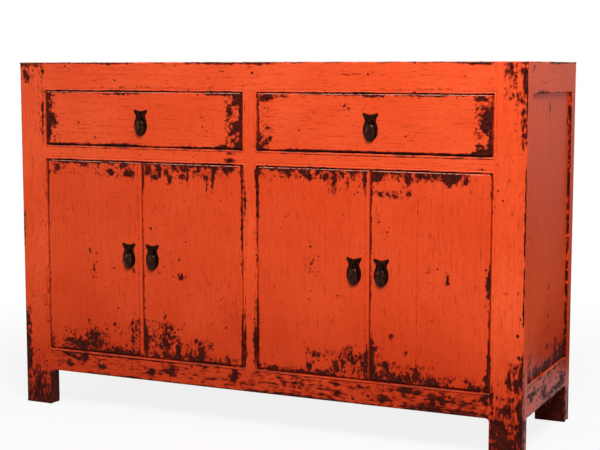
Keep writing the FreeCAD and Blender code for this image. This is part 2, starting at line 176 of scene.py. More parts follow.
    red = hexLinear(look["red"])
    for cover, coat in ((soft["bright"], "bright"), (soft["tone"], "deep"), (soft["mottle"], "deep"),
                        (tint, "deep"), (soft["dirtAndShadeDeep"], "deep"), (soft["dirtAndShadeStain"], "stain"),
                        (soft["hairLine"], "stain"), (soft["halo"], "stain")):
        red = addNode(tree, "ShaderNodeMix", {"Factor": cover, 6: red, 7: hexLinear(look[coat])}, 2,
                      data_type="RGBA")
    ground = hexLinear(look["undercoat"])
    for coat in ("black", "bare"):
        ground = addNode(tree, "ShaderNodeMix", {"Factor": soft[coat], 6: ground,
                                                 7: hexLinear(look[coat])}, 2, data_type="RGBA")
    colour = addNode(tree, "ShaderNodeMix", {"Factor": worn, 6: red, 7: ground}, 2, data_type="RGBA")
    colour = addNode(tree, "ShaderNodeMix", {"Factor": pale, 6: colour, 7: hexLinear(look["paintedEdgeHighlight"])}, 2,
                     data_type="RGBA")
    rough = look["roughness"] - look["roughSpread"] / 2
    for field, gain in ((drift, look["roughSpread"]), (worn, look["wornRoughness"] - look["roughness"])):
        rough = addNode(tree, "ShaderNodeMath", {0: field, 1: gain, 2: rough}, 0, operation="MULTIPLY_ADD")
    relief = 0.0
    for field, gain in ((worn, -0.6), (hairs, 0.25), (tones, 0.25)):
        relief = addNode(tree, "ShaderNodeMath", {0: field, 1: gain, 2: relief}, 0, operation="MULTIPLY_ADD")
    bump = addNode(tree, "ShaderNodeBump", {"Strength": 0.35, "Distance": 0.5 * mm, "Height": relief},
                   "Normal")
    shader = addNode(tree, "ShaderNodeBsdfPrincipled", {
        "Base Color": colour, "Roughness": rough, "Normal": bump,
        "Specular IOR Level": look["gloss"], "IOR": 1.5}, 0)
    tree.links.new(shader, output.inputs["Surface"])
    return material


# aged bare softwood: planed boards that never saw lacquer, pale brown with growth bands
softwoodLook = {
    "pale": "#A98254", "brown": "#7C5431", "dirt": "#4A3120", "bandAcross": 9.0, "bandAlong": 320.0,
    "poreAcross": 0.9, "poreAlong": 14.0, "dirtAcross": 60.0, "dirtAlong": 120.0, "rings": 7.0,
    "roughness": 0.68,
}


def agedSoftwood(name, grain, shift, look=softwoodLook):
    material, tree, output = newMaterial(name)
    bands = grainNoise(tree, grain, look["bandAcross"], look["bandAlong"], 3.0, 0.55, shift)
    pores = grainNoise(tree, grain, look["poreAcross"], look["poreAlong"], 3.0, 0.6, shift + 4)
    dirt = grainNoise(tree, grain, look["dirtAcross"], look["dirtAlong"], 4.0, 0.6, shift + 8)
    years = addNode(tree, "ShaderNodeMath", {0: bands, 1: look["rings"]}, 0, operation="MULTIPLY")
    year = addNode(tree, "ShaderNodeMath", {0: years}, 0, operation="FRACT")
    soft = {}
    for label, field, low, high, least, most in (
            ("rings", year, 0.15, 0.95, 0, 1), ("pores", pores, 0.55, 0.75, 0, 0.5),
            ("dirt", dirt, 0.45, 0.75, 0, 0.45),
            ("rough", pores, 0.3, 0.7, look["roughness"] - 0.08, look["roughness"] + 0.1)):
        soft[label] = addNode(tree, "ShaderNodeMapRange", {0: field, 1: low, 2: high, 3: least, 4: most}, 0,
                              interpolation_type="SMOOTHSTEP")
    colour = hexLinear(look["pale"])
    for cover, coat in (("rings", "brown"), ("pores", "dirt"), ("dirt", "dirt")):
        colour = addNode(tree, "ShaderNodeMix", {"Factor": soft[cover], 6: colour,
                                                 7: hexLinear(look[coat])}, 2, data_type="RGBA")
    relief = 0.0
    for field, gain in ((soft["rings"], 0.5), (pores, -0.7)):
        relief = addNode(tree, "ShaderNodeMath", {0: field, 1: gain, 2: relief}, 0, operation="MULTIPLY_ADD")
    bump = addNode(tree, "ShaderNodeBump", {"Strength": 0.35, "Distance": 0.3 * mm, "Height": relief},
                   "Normal")
    shader = addNode(tree, "ShaderNodeBsdfPrincipled", {
        "Base Color": colour, "Roughness": soft["rough"], "Normal": bump, "IOR": 1.45}, 0)
    tree.links.new(shader, output.inputs["Surface"])
    return material


# stained softwood: the back boards, brushed with a thin dark stain that lets the grain show
stainedLook = {
    **softwoodLook, "pale": "#4A2F20", "brown": "#2F1C13", "dirt": "#1C110C", "bandAcross": 11.0,
    "bandAlong": 380.0, "roughness": 0.74,
}


# blackened forged iron: filed, burnt black in oil and waxed, brown where hands rub it
ironLook = {"black": "#1B0D07", "brown": "#36190F", "bright": "#5A4A40", "pitSize": 0.9,
            "rubSize": 7.0, "roughness": 0.48, "coat": 0.0}
handledLook = {"black": "#24110A", "brown": "#3C1D12", "bright": "#6A5446", "pitSize": 1.1,
               "rubSize": 9.0, "roughness": 0.22, "coat": 0.07}     # polished by hands


def blackenedIron(name, look):
    material, tree, output = newMaterial(name)
    pits = grainNoise(tree, "z", look["pitSize"], look["pitSize"], 4.0, 0.6)
    rub = grainNoise(tree, "z", look["rubSize"], look["rubSize"], 3.0, 0.5, 2.0)
    soft = {}
    for label, field, low, high, least, most in (
            ("brown", rub, 0.42, 0.66, 0, 1), ("bright", pits, 0.66, 0.8, 0, 0.35),
            ("rough", rub, 0.3, 0.7, look["roughness"] - 0.06, look["roughness"] + 0.14)):
        soft[label] = addNode(tree, "ShaderNodeMapRange", {0: field, 1: low, 2: high, 3: least, 4: most}, 0,
                              interpolation_type="SMOOTHSTEP")
    colour = hexLinear(look["black"])
    for coat in ("brown", "bright"):
        colour = addNode(tree, "ShaderNodeMix", {"Factor": soft[coat], 6: colour,
                                                 7: hexLinear(look[coat])}, 2, data_type="RGBA")
    bump = addNode(tree, "ShaderNodeBump", {"Strength": 0.3, "Distance": 0.25 * mm, "Height": pits}, "Normal")
    shader = addNode(tree, "ShaderNodeBsdfPrincipled", {
        "Base Color": colour, "Metallic": 1.0, "Roughness": soft["rough"], "Normal": bump,
        "Coat Weight": look["coat"], "Coat Roughness": 0.14}, 0)
    tree.links.new(shader, output.inputs["Surface"])
    return material


materials = {
    "lacquerUpright": brushedLacquer("brushedRedLacquerUpright", "z", chipAlong=13.0),
    "lacquerAcross": brushedLacquer("brushedRedLacquerAcross", "x", shift=1.7, chipAlong=19.0),
    "lacquerDeepways": brushedLacquer("brushedRedLacquerFrontToBack", "y", shift=2.9, chipAlong=19.0),
    "lacquerDoor": brushedLacquer("brushedRedLacquerDoor", "z", tint=0.38, shift=5.1, hairDepth=0.75),
    "lacquerDrawer": brushedLacquer("brushedRedLacquerDrawer", "x", tint=0.1, shift=7.7, hairDepth=0.95),
    "softwoodAcross": agedSoftwood("planedSoftwoodAcross", "x", 1.3),
    "softwoodDeepways": agedSoftwood("planedSoftwoodFrontToBack", "y", 2.1),
    "stainedBack": agedSoftwood("stainedSoftwoodUpright", "z", 3.4, stainedLook),
    "iron": blackenedIron("blackenedForgedIron", ironLook),
    "ironHandled": blackenedIron("blackenedForgedIronPolishedByHand", handledLook),
}
print("materials made:", len(materials))


# every board and frame member is a closed block whose skin is a grid, close where an arris
# turns or a moulding runs, with its wear and its nearness to an arris kept at each point

axes = {"x": 0, "y": 1, "z": 2}


def softNoise(points, size, seed):
    # smooth noise between 0 and 1 over points in millimetres
    scaled = points / size
    base = np.floor(scaled).astype(np.int64)
    part = scaled - base
    part = part * part * (3 - 2 * part)
    total = np.zeros(len(points))
    for corner in range(8):
        step = np.array([corner & 1, corner >> 1 & 1, corner >> 2 & 1])
        cell = base + step
        mixed = cell[:, 0] * 374761393 + cell[:, 1] * 668265263 + cell[:, 2] * 2147483647 + seed * 1274126177
        mixed = (mixed ^ (mixed >> 13)) * 1103515245
        mixed = (mixed ^ (mixed >> 16)) & 0xFFFF
        weight = np.prod(np.where(step, part, 1 - part), axis=1)
        total += weight * mixed / 65535
    return total


def pickStops(low, high, spacing, closeOnes):
    special = sorted({round(low, 4), round(high, 4)}
                     | {round(v, 4) for v in closeOnes if low + 0.05 < v < high - 0.05})
    stops = [special[0]]
    for mark in special[1:]:
        if mark - stops[-1] < 0.12 and mark != special[-1]:
            continue
        gap = mark - stops[-1]
        parts = max(1, int(round(gap / spacing)))
        start = stops[-1]
        stops += [start + gap * i / parts for i in range(1, parts + 1)]
    return np.array(stops)


def blockSkin(stops):
    # vertices and outward quads on the skin of a block of grid stops
    counts = [len(s) for s in stops]
    ids = np.full(counts, -1)
    skin = np.zeros(counts, bool)
    for axis in range(3):
        for end in (0, -1):
            where = [slice(None)] * 3
            where[axis] = end
            skin[tuple(where)] = True
    places = np.argwhere(skin)
    ids[skin] = np.arange(len(places))
    points = np.stack([stops[a][places[:, a]] for a in range(3)], axis=1)
    quads = []
    for axis in range(3):
        for end in (0, -1):
            where = [slice(None)] * 3
            where[axis] = end
            face = ids[tuple(where)]
            if axis == 1:
                face = face.T       # so that the first index, then the second, turn about +axis
            if end == 0:
                face = face.T
            quads.append(np.stack([face[:-1, :-1], face[1:, :-1], face[1:, 1:], face[:-1, 1:]],
                                  axis=-1).reshape(-1, 4))
    return points, np.concatenate(quads), places


boardLook = {"turnAngles": (0, 15, 30, 45), "driftGain": 0.16, "driftSize": 90, "edgeReach": 3.2,
             "sunkDirtAndShade": 0.24, "sunkBelow": 0.6, "planedSize": 38, "planedMargin": 6}


def board(low, high, step, arrises, cuts=None, relief=None, wearing=None, seed=0,
          planed=0.16, edgeWear=0.55, baseWear=0.05, rebate=None):
    # arrises maps "x-z+" style edge names to radii; relief(points) lifts the front's vertices;
    # rebate is (ledge height, [(axis, place, side), ...]), a step cut down from the top
    low, high = np.array(low, float), np.array(high, float)
    close = [set(), set(), set()]
    for edge, radius in arrises.items():
        for face in (edge[:2], edge[2:]):
            axis = axes[face[0]]
            end = low[axis] if face[1] == "-" else high[axis]
            inward = 1 if face[1] == "-" else -1
            for angle in boardLook["turnAngles"]:
                close[axis].add(end + inward * radius * (1 - math.tan(math.radians(angle))))
            close[axis] |= {end + inward * radius * 2, end + inward * (radius + 7)}
    for name, values in (cuts or {}).items():
        close[axes[name]] |= set(values)
    if rebate:
        for name, place, side in rebate[1]:
            close[axes[name]] |= {place - 0.1, place + 0.1}
        close[2].add(rebate[0])
    steps = step if isinstance(step, (list, tuple)) else [step] * 3
    stops = [pickStops(low[a], high[a], steps[a], close[a]) for a in range(3)]
    points, quads, places = blockSkin(stops)
    flat = points.copy()
    wear = np.full(len(points), baseWear)
    arrisNear = np.zeros(len(points))
    wear += boardLook["driftGain"] * (softNoise(flat, boardLook["driftSize"], seed + 11) - 0.35)
    for edge, radius in arrises.items():
        first, second = edge[:2], edge[2:]
        a, b = axes[first[0]], axes[second[0]]
        signA, signB = (1 if first[1] == "-" else -1), (1 if second[1] == "-" else -1)
        endA = low[a] if signA > 0 else high[a]
        endB = low[b] if signB > 0 else high[b]
        inA, inB = (points[:, a] - endA) * signA, (points[:, b] - endB) * signB
        near = (inA < radius) & (inB < radius)
        towardA, towardB = radius - inA[near], radius - inB[near]
        scale = radius / np.maximum(np.hypot(towardA, towardB), 1e-9)
        points[near, a] = endA + signA * (radius - towardA * scale)
        points[near, b] = endB + signB * (radius - towardB * scale)
        reach = np.hypot((flat[:, a] - endA), (flat[:, b] - endB))
        arrisNear = np.maximum(arrisNear, np.exp(-(reach / (radius * 0.9 + 0.3)) ** 2))
        ragged = softNoise(flat, 24, seed + 3) * 0.7 + softNoise(flat, 70, seed + 5) * 0.9
        patchy = np.clip(ragged * 1.5 - 0.55, 0, 1.4)
        wear = wear + edgeWear * np.exp(-(reach / boardLook["edgeReach"]) ** 2) * patchy
    front = places[:, 1] == 0
    if relief is not None:
        lifted = relief(flat[front])
        points[front, 1] -= lifted
        # bead crowns count as arrises too, so they take the painted highlight
        arrisNear[front] = np.maximum(arrisNear[front], (lifted > -0.35) & (np.abs(lifted) > 0.05))
        # quirks and sunk grooves are darkened: dirt and painted shade in the recess
        wear[front] += boardLook["sunkDirtAndShade"] * (lifted < -boardLook["sunkBelow"])
    if planed:
        # hand-planed faces are never quite flat
        margin = boardLook["planedMargin"]
        inside = front & (flat[:, 0] > low[0] + margin) & (flat[:, 0] < high[0] - margin) \
            & (flat[:, 2] > low[2] + margin) & (flat[:, 2] < high[2] - margin)
        ripple = softNoise(flat[inside] * [1, 0, 0.35], boardLook["planedSize"], seed + 21)
        points[inside, 1] += planed * (ripple - 0.2)
    if rebate:
        under = np.ones(len(points), bool)
        for name, place, side in rebate[1]:
            under &= (flat[:, axes[name]] - place) * side > 0
        points[under, 2] = np.minimum(points[under, 2], rebate[0])
    if wearing is not None:
        wear = wearing(flat, wear, front)
    return points, quads, wear, arrisNear


def turned(radius, start, axisName, length, sides=28, arris=0.6):
    # a closed round pin along an axis with eased ends, in millimetres
    along = axes[axisName]
    others = [(along + 1) % 3, (along + 2) % 3]
    rings = [(0, radius - arris), (arris * 0.3, radius - arris * 0.3), (arris, radius),
             (length - arris, radius), (length - arris * 0.3, radius - arris * 0.3), (length, radius - arris)]
    points, quads = [], []
    for out, r in rings:
        for i in range(sides):
            angle = 2 * math.pi * i / sides
            p = [0.0, 0.0, 0.0]
            p[along] = start[along] + out
            p[others[0]] = start[others[0]] + r * math.cos(angle)
            p[others[1]] = start[others[1]] + r * math.sin(angle)
            points.append(p)
    for k in range(len(rings) - 1):
        for i in range(sides):
            j = (i + 1) % sides
            quads.append([k * sides + i, k * sides + j, (k + 1) * sides + j, (k + 1) * sides + i])
    caps = [list(range(sides))[::-1], [(len(rings) - 1) * sides + i for i in range(sides)]]
    return np.array(points), quads, caps


def makePiece(name, shapes, material, body, nodes, sharp=38):
    # shapes are (points in mm, faces, wear) sets that make one object, with the nearness of an
    # arris as a fourth value where there is one
    allPoints, allFaces, allWear, allArris, start = [], [], [], [], 0
    for points, faces, wear, *arris in shapes:
        allPoints.append(np.asarray(points, float))
        allFaces += [[int(v) + start for v in face] for face in faces]
        allWear.append(np.broadcast_to(np.asarray(wear, float), (len(points),)))
        allArris.append(np.broadcast_to(np.asarray(arris[0] if arris else 0.0, float), (len(points),)))
        start += len(points)
    mesh = bpy.data.meshes.new(name)
    mesh.from_pydata((np.concatenate(allPoints) * mm).tolist(), [], allFaces)
    for layer, values in (("wear", allWear), ("arris", allArris)):
        mesh.attributes.new(layer, "FLOAT", "POINT").data.foreach_set(
            "value", np.concatenate(values).astype(np.float32))
    mesh.materials.append(material)
    tidied = bmesh.new()
    tidied.from_mesh(mesh)
    bmesh.ops.remove_doubles(tidied, verts=tidied.verts, dist=0.02 * mm)
    bmesh.ops.dissolve_degenerate(tidied, edges=tidied.edges, dist=0.01 * mm)
    tidied.to_mesh(mesh)
    tidied.free()
    mesh.shade_smooth()
    mesh.set_sharp_from_angle(angle=math.radians(sharp))
    piece = bpy.data.objects.new(name, mesh)
    bpy.context.scene.collection.objects.link(piece)
    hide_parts(*nodes)
    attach(piece, body)


def sizes(node):
    low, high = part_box(node)
    return [v / mm for v in low], [v / mm for v in high]


# sizes of the joinery that the frame's own boxes don't tell, in millimetres
caseWork = {
    "top": 900.0, "drawerTop": 828.0, "drawerBottom": 688.0, "doorTop": 652.0, "doorBottom": 152.0,
    "sideRailTop": 168.0, "legTop": 94.0,
    "beadWidth": 5.0, "beadRise": 0.6, "beadSink": 0.9, "quirk": 1.3,
    "faceSpacing": 6.0, "sideSpacing": 14.0,
}
postLow, postHigh = sizes("post_front_left")
stileLow, stileHigh = sizes("door_stile")
frontY = postLow[1]
leftEdge, rightEdge = postHigh[0], sizes("post_front_right")[0][0]
stileEdges = (stileLow[0], stileHigh[0])
print("front plane at", round(frontY, 2), "openings", round(leftEdge, 1), stileEdges, round(rightEdge, 1))
frameOpenings = [
    (leftEdge, stileEdges[0], caseWork["drawerBottom"], caseWork["drawerTop"]),
    (stileEdges[1], rightEdge, caseWork["drawerBottom"], caseWork["drawerTop"]),
    (leftEdge, stileEdges[0], caseWork["doorBottom"], caseWork["doorTop"]),
    (stileEdges[1], rightEdge, caseWork["doorBottom"], caseWork["doorTop"]),
]


def outOf(points, opening):
    x0, x1, z0, z1 = opening
    aside = np.maximum(np.maximum(x0 - points[:, 0], points[:, 0] - x1), 0)
    above = np.maximum(np.maximum(z0 - points[:, 2], points[:, 2] - z1), 0)
    return np.hypot(aside, above)


def frameMoulding(points):
    # a thin bead round every opening with a fine quirk outside it
    work = caseWork
    lift = np.zeros(len(points))
    for opening in frameOpenings:
        out = outOf(points, opening)
        half = work["beadWidth"] / 2
        crown = np.sqrt(np.clip(1 - ((out - half) / half) ** 2, 0, 1))
        onBead = out <= work["beadWidth"] + 0.01
        lift = np.where(onBead, -work["beadSink"] + (work["beadRise"] + work["beadSink"]) * crown, lift)
        inQuirk = (out > work["beadWidth"]) & (out < work["beadWidth"] + work["quirk"])
        lift = np.where(inQuirk, -work["beadSink"], lift)
    return lift


def mouldingCuts():
    work = caseWork
    outs = [0.0, 0.5, 1.3, 2.5, 3.7, 4.5, 5.0, 5.25, 6.1, 6.4, 9.0]
    xs = [e + s * o for e, s in ((leftEdge, -1), (stileEdges[0], 1), (stileEdges[1], -1), (rightEdge, 1))
          for o in outs]
    zs = [e + s * o for e, s in ((work["drawerTop"], 1), (work["drawerBottom"], -1),
                                 (work["doorTop"], 1), (work["doorBottom"], -1)) for o in outs]
    return {"x": xs, "z": zs}


# where the lacquer has gone: spots are (x, z, half width, half height, strength) on the
# front, zones are (x from, x to, z from, z to, strength); all in millimetres

wearLook = {"raggedSize": 7.0, "spotGrowth": 1.15, "zoneSoftness": 6.0, "rimReach": 2.2,
            "sideFrom": 660.0, "splashTop": 125.0, "splashDepth": 100.0, "innerLegWearAndShade": 0.62}


def wearAt(across, upward, spots, zones, seed):
    level = np.zeros(len(across))
    grown, soft = wearLook["spotGrowth"], wearLook["zoneSoftness"]
    ragged = softNoise(np.stack([across, upward, across * 0], axis=1), wearLook["raggedSize"], seed + 31)
    for place, height, halfWide, halfHigh, strength in spots:
        reach = ((across - place) / (halfWide * grown)) ** 2 + ((upward - height) / (halfHigh * grown)) ** 2
        found = strength * grown * np.exp(-reach * (0.45 + 0.9 * ragged))
        level = 1 - (1 - level) * (1 - np.clip(found, 0, 1))
    for left, right, bottom, top, strength in zones:
        wide = np.clip((across - left) / soft + 0.5, 0, 1) * np.clip((right - across) / soft + 0.5, 0, 1)
        high = np.clip((upward - bottom) / soft + 0.5, 0, 1) * np.clip((top - upward) / soft + 0.5, 0, 1)
        level = 1 - (1 - level) * (1 - np.clip(strength * wide * high, 0, 1))
    return level


def frontWearing(spots, zones, footWear=0.0, sideSpots=(), sideZones=(), seed=0, rim=0.0):
    # rim is the dirt, chipping and painted shade along the very edge of the frame's openings, next to the
    # gaps
    def wearing(flat, wear, front):
        wear = wear.copy()
        if rim:
            places = flat[front]
            ragged = softNoise(places, 22, seed + 41) + softNoise(places, 90, seed + 43)
            for opening in frameOpenings:
                beyond = outOf(places, opening)
                patchy = np.clip(ragged * 1.4 - 0.7, 0, 1.3)
                wear[front] += rim * np.exp(-(beyond / wearLook["rimReach"]) ** 2) * patchy
        wear[front] += wearAt(flat[front, 0], flat[front, 2], spots, zones, seed) * 0.95
        aside = np.abs(flat[:, 0]) > wearLook["sideFrom"]
        if len(sideSpots) + len(sideZones):
            wear[aside & ~front] += wearAt(flat[aside & ~front, 1], flat[aside & ~front, 2],
                                           sideSpots, sideZones, seed + 1)
        if footWear:
            # scuffed and splashed towards the floor
            splash = (wearLook["splashTop"] - flat[:, 2]) / wearLook["splashDepth"]
            wear += footWear * np.clip(splash, 0, 1)
            # the inner faces of the legs are darkened for wear and painted shade
            inward = (np.abs(flat[:, 0]) < rightEdge + 0.05) & (flat[:, 2] < caseWork["legTop"])
            wear[inward] += wearLook["innerLegWearAndShade"]
        return wear
    return wearing


materialOf = {"x": materials["lacquerAcross"], "y": materials["lacquerDeepways"],
              "z": materials["lacquerUpright"]}
faceStep = caseWork["faceSpacing"]
sideStep = caseWork["sideSpacing"]
topLedge = 882.0      # the top boards lie on a ledge at this height, in a rebate of the frame
topReachX, topFrontY, topBackY = 652.0, -184.15, 193.85

# posts, with eased feet
postLook = {
    "sideSpots": [(175, 760, 7, 40, 0.6), (-198, 140, 9, 60, 0.5)],
    "sideZones": [(-215, 225, 0, 92, 0.3)], "rim": 0.4,
    "arris": 4.0, "footArris": 7.0, "topArris": 2.6, "footWear": 0.24,
    "leftSpots": [(-660, 868, 8, 10, 0.75), (-604, 878, 8, 7, 0.6), (-655, 855, 3, 7, 0.6),
                  (-610, 780, 1.8, 46, 0.5), (-676, 455, 5, 28, 0.7), (-676, 190, 9, 40, 0.55),
                  (-676, 120, 16, 30, 0.6), (-665, 212, 4, 4, 0.7), (-640, 60, 14, 40, 0.35),
                  (-612, 330, 2, 70, 0.25)],
    "leftZones": [(-678, -600, 884, 902, 0.5), (-676, -604, 850, 884, 0.22), (-680, -600, 0, 90, 0.29),
                  (-622, -601, 690, 850, 0.2), (-680, -658, 90, 260, 0.36), (-680, -600, 90, 150, 0.14)],
    "rightSpots": [(672, 865, 4, 30, 0.75), (670, 790, 3, 60, 0.5), (645, 185, 5, 13, 0.75),
                   (666, 180, 11, 15, 0.7), (676, 206, 5, 8, 0.7), (640, 115, 12, 9, 0.7),
                   (628, 80, 8, 10, 0.7), (673, 105, 7, 42, 0.6), (610, 68, 5, 26, 0.6),
                   (662, 385, 4, 4, 0.65), (665, 290, 4, 5, 0.65), (668, 240, 4, 4, 0.65),
                   (670, 330, 3, 5, 0.6), (640, 30, 16, 24, 0.55), (606, 150, 4, 30, 0.45)],
    "rightZones": [(620, 668, 812, 898, 0.34), (640, 680, 700, 812, 0.2), (600, 680, 0, 92, 0.26),
                   (640, 680, 150, 230, 0.3), (600, 680, 92, 150, 0.28)],
    # the first zone of each back post darkens its foot under the rail, for dirt and painted shade
    "backLeftWearAndShadeZones": [(-680, -600, 0, 94, 0.5), (-690, -650, 94, 880, 0.58)],
    "backRightWearAndShadeZones": [(600, 680, 0, 94, 0.5), (650, 690, 94, 880, 0.58)],
}


def addPost(node, sideX, sideY, spots, zones, seed):
    look = postLook
    low, high = sizes(node)
    low[2], high[2] = max(low[2], 0.0), min(high[2], caseWork["top"])
    outerX = "x+" if sideX > 0 else "x-"
    innerX = "x-" if sideX > 0 else "x+"
    outerY = "y+" if sideY > 0 else "y-"
    innerY = "y-" if sideY > 0 else "y+"
    edges = {outerX + outerY: look["arris"], outerX + "z+": look["topArris"], outerY + "z+": look["topArris"],
             outerX + "z-": look["footArris"], outerY + "z-": look["footArris"],
             innerX + "z-": look["footArris"] * 0.7, innerY + "z-": look["footArris"] * 0.7}
    innerPlace = topReachX * sideX
    edgeY = topBackY if sideY > 0 else topFrontY
    shape = board(low, high, [faceStep, sideStep * 0.6, faceStep], edges,
                  mouldingCuts() if sideY < 0 else None, frameMoulding if sideY < 0 else None,
                  frontWearing(spots, zones, look["footWear"],
                               look["sideSpots"], look["sideZones"], seed, rim=look["rim"]),
                  seed=seed, edgeWear=0.75, planed=0.18 if sideY < 0 else 0.1,
                  rebate=(topLedge, [("x", innerPlace, -sideX), ("y", edgeY, -sideY)]))
    makePiece("post" + node[4:].title().replace("_", ""), [shape], materialOf["z"], "carcass",
              [node])


addPost("post_front_left", -1, -1, postLook["leftSpots"], postLook["leftZones"], 101)
addPost("post_front_right", 1, -1, postLook["rightSpots"], postLook["rightZones"], 102)
addPost("post_back_left", -1, 1, (), postLook["backLeftWearAndShadeZones"], 103)
addPost("post_back_right", 1, 1, (), postLook["backRightWearAndShadeZones"], 104)
print("posts done")

# rails and stiles of the front
railLook = {
    "topArris": 2.6, "lowArris": 2.0, "bracket": 8.0, "rim": 0.6, "stileRim": 0.38, "edgeWear": 0.8,
    "topSpots": [(-385, 899, 46, 4, 0.75), (-95, 899, 95, 4, 0.5), (25, 899, 36, 5, 0.6),
                 (565, 899, 36, 5, 0.75), (-440, 852, 20, 1.3, 0.6), (-300, 838, 120, 1.6, 0.35),
                 (-100, 839, 60, 1.5, 0.5), (250, 871, 60, 1.0, 0.3), (-250, 880, 90, 1.0, 0.25),
                 (420, 838, 120, 1.4, 0.35)],
    "middleSpots": [(-62, 663, 13, 5, 0.8), (-300, 684, 220, 1.2, 0.35), (330, 683, 200, 1.2, 0.35),
                    (-50, 678, 14, 2, 0.6), (560, 663, 24, 2, 0.5)],
    "bottomSpots": [(-360, 146, 200, 1.3, 0.6), (-535, 139, 14, 3, 0.65), (-512, 131, 12, 3, 0.6),
                    (-490, 138, 9, 11, 0.75), (-540, 115, 12, 5, 0.65), (-435, 116, 12, 5, 0.7),
                    (-295, 115, 13, 8, 0.75), (-240, 124, 22, 9, 0.55), (-50, 132, 8, 12, 0.7),
                    (-90, 118, 56, 3, 0.5), (225, 113, 12, 4, 0.75), (220, 138, 6, 4, 0.7),
                    (345, 112, 18, 4, 0.75), (400, 140, 24, 5, 0.75), (450, 103, 28, 4, 0.7),
                    (465, 116, 6, 13, 0.7), (490, 125, 8, 6, 0.7), (540, 120, 20, 4, 0.7),
                    (545, 104, 44, 3, 0.7), (590, 135, 8, 12, 0.6)],
    "bottomZones": [(150, 600, 94, 147, 0.33), (-600, 150, 94, 147, 0.24), (-60, 150, 94, 147, 0.14)],
    "stileSpots": [(-20, 562, 2.5, 26, 0.8), (-21, 205, 4, 55, 0.6), (7, 205, 5, 55, 0.65),
                   (-12, 120, 10, 20, 0.3), (-24, 628, 2, 16, 0.6), (9, 628, 2.5, 18, 0.6)],
}
innerFrontY = sizes("post_front_left")[1][1]


def railBetween(low, high, edges, spots, zones, seed, rebate=None):
    return board(low, high, [faceStep, sideStep, faceStep], edges, mouldingCuts(), frameMoulding,
                 frontWearing(spots, zones, seed=seed, rim=railLook["rim"]), seed=seed,
                 edgeWear=railLook["edgeWear"], rebate=rebate)


makePiece("topRailFront", [railBetween(
    [leftEdge, frontY, caseWork["drawerTop"]], [rightEdge, innerFrontY, caseWork["top"]],
    {"y-z+": railLook["topArris"]}, railLook["topSpots"], [], 111,
    (topLedge, [("y", topFrontY, 1)]))], materialOf["x"], "carcass", ["top_rail_front"])
makePiece("middleRail", [railBetween(
    [leftEdge, frontY, caseWork["doorTop"]], [rightEdge, innerFrontY, caseWork["drawerBottom"]],
    {}, railLook["middleSpots"], [], 112)], materialOf["x"], "carcass", ["middle_rail"])


def bracketShape(x, sideX, y0, y1, z, radius):
    # the small hollow corner where the rail meets a leg
    outline = [(0.0, 0.0)]
    for i in range(9):
        angle = math.radians(90 * i / 8)
        outline.append((radius - radius * math.sin(angle), -(radius - radius * math.cos(angle))))
    points = []
    for depth in (y0, y1):
        for across, down in outline:
            points.append([x + sideX * across, depth, z + down])
    count = len(outline)
    faces = [list(range(count)), [count + i for i in range(count)][::-1]]
    for i in range(count):
        j = (i + 1) % count
        faces.append([j, i, count + i, count + j])
    if sideX < 0:
        faces = [f[::-1] for f in faces]
    return np.array(points), faces, 0.35


bracketZ = sizes("bottom_rail_front")[0][2] + railLook["bracket"]
bottomRail = railBetween([leftEdge, frontY, bracketZ],
                         [rightEdge, innerFrontY, caseWork["doorBottom"]],
                         {"y-z-": railLook["lowArris"]}, railLook["bottomSpots"],
                         railLook["bottomZones"], 113)
brackets = [bracketShape(x, s, frontY, innerFrontY, bracketZ, railLook["bracket"])
            for x, s in ((leftEdge, 1), (rightEdge, -1))]
makePiece("bottomRailFront", [bottomRail] + brackets, materialOf["x"], "carcass",
          ["bottom_rail_front"])
for node, name, z0, z1, seed in (("door_stile", "doorStile", "doorBottom", "doorTop", 114),
                                 ("drawer_divider", "drawerDivider", "drawerBottom", "drawerTop", 115)):
    stile = board([stileEdges[0], frontY, caseWork[z0]], [stileEdges[1], innerFrontY, caseWork[z1]],
                  [faceStep, sideStep, faceStep], {}, mouldingCuts(), frameMoulding,
                  frontWearing(railLook["stileSpots"], (), seed=seed, rim=railLook["stileRim"]),
                  seed=seed, edgeWear=railLook["edgeWear"])
    makePiece(name, [stile], materialOf["z"], "carcass", [node])
print("front frame done")

# the sides and the back
caseBackY = sizes("post_back_left")[1][1]
innerBackY = sizes("post_back_left")[0][1]
sideLook = {
    "outer": 678.0, "inner": 640.0, "panelOuter": 671.0, "panelInner": 661.0, "outsideFrom": 665.0,
    "panelArris": 1.4,
    "topSpots": [(-180, 884, 14, 8, 0.6), (40, 898, 60, 4, 0.6), (-60, 852, 40, 3, 0.3)],
    "bottomSpots": [(-30, 125, 16, 10, 0.7), (60, 110, 60, 6, 0.6), (-120, 140, 40, 8, 0.55),
                    (140, 120, 30, 14, 0.6)],
    "bottomZones": [(-180, 190, 90, 170, 0.24)],
    "panelSpots": [(5, 790, 14, 26, 0.35), (27, 370, 4, 5, 0.7), (30, 340, 3, 4, 0.7),
                   (24, 300, 4, 6, 0.7), (32, 270, 3, 4, 0.7), (28, 255, 3, 4, 0.7), (24, 225, 4, 5, 0.7),
                   (-74, 180, 16, 18, 0.5), (-150, 186, 20, 30, 0.55), (22, 176, 30, 12, 0.5),
                   (96, 190, 14, 34, 0.5), (160, 182, 26, 22, 0.55), (-150, 470, 3, 6, 0.5),
                   (120, 560, 3, 5, 0.5), (172, 760, 6, 34, 0.6), (-164, 300, 3, 90, 0.4)],
    "panelZones": [(-175, 185, 165, 192, 0.34), (-175, 185, 165, 235, 0.2), (18, 36, 215, 390, 0.12)],
}


def sideWearing(spots, zones, seed):
    def wearing(flat, wear, front):
        outside = np.abs(flat[:, 0]) > sideLook["outsideFrom"]
        return wear + outside * wearAt(flat[:, 1], flat[:, 2], spots, zones, seed)
    return wearing


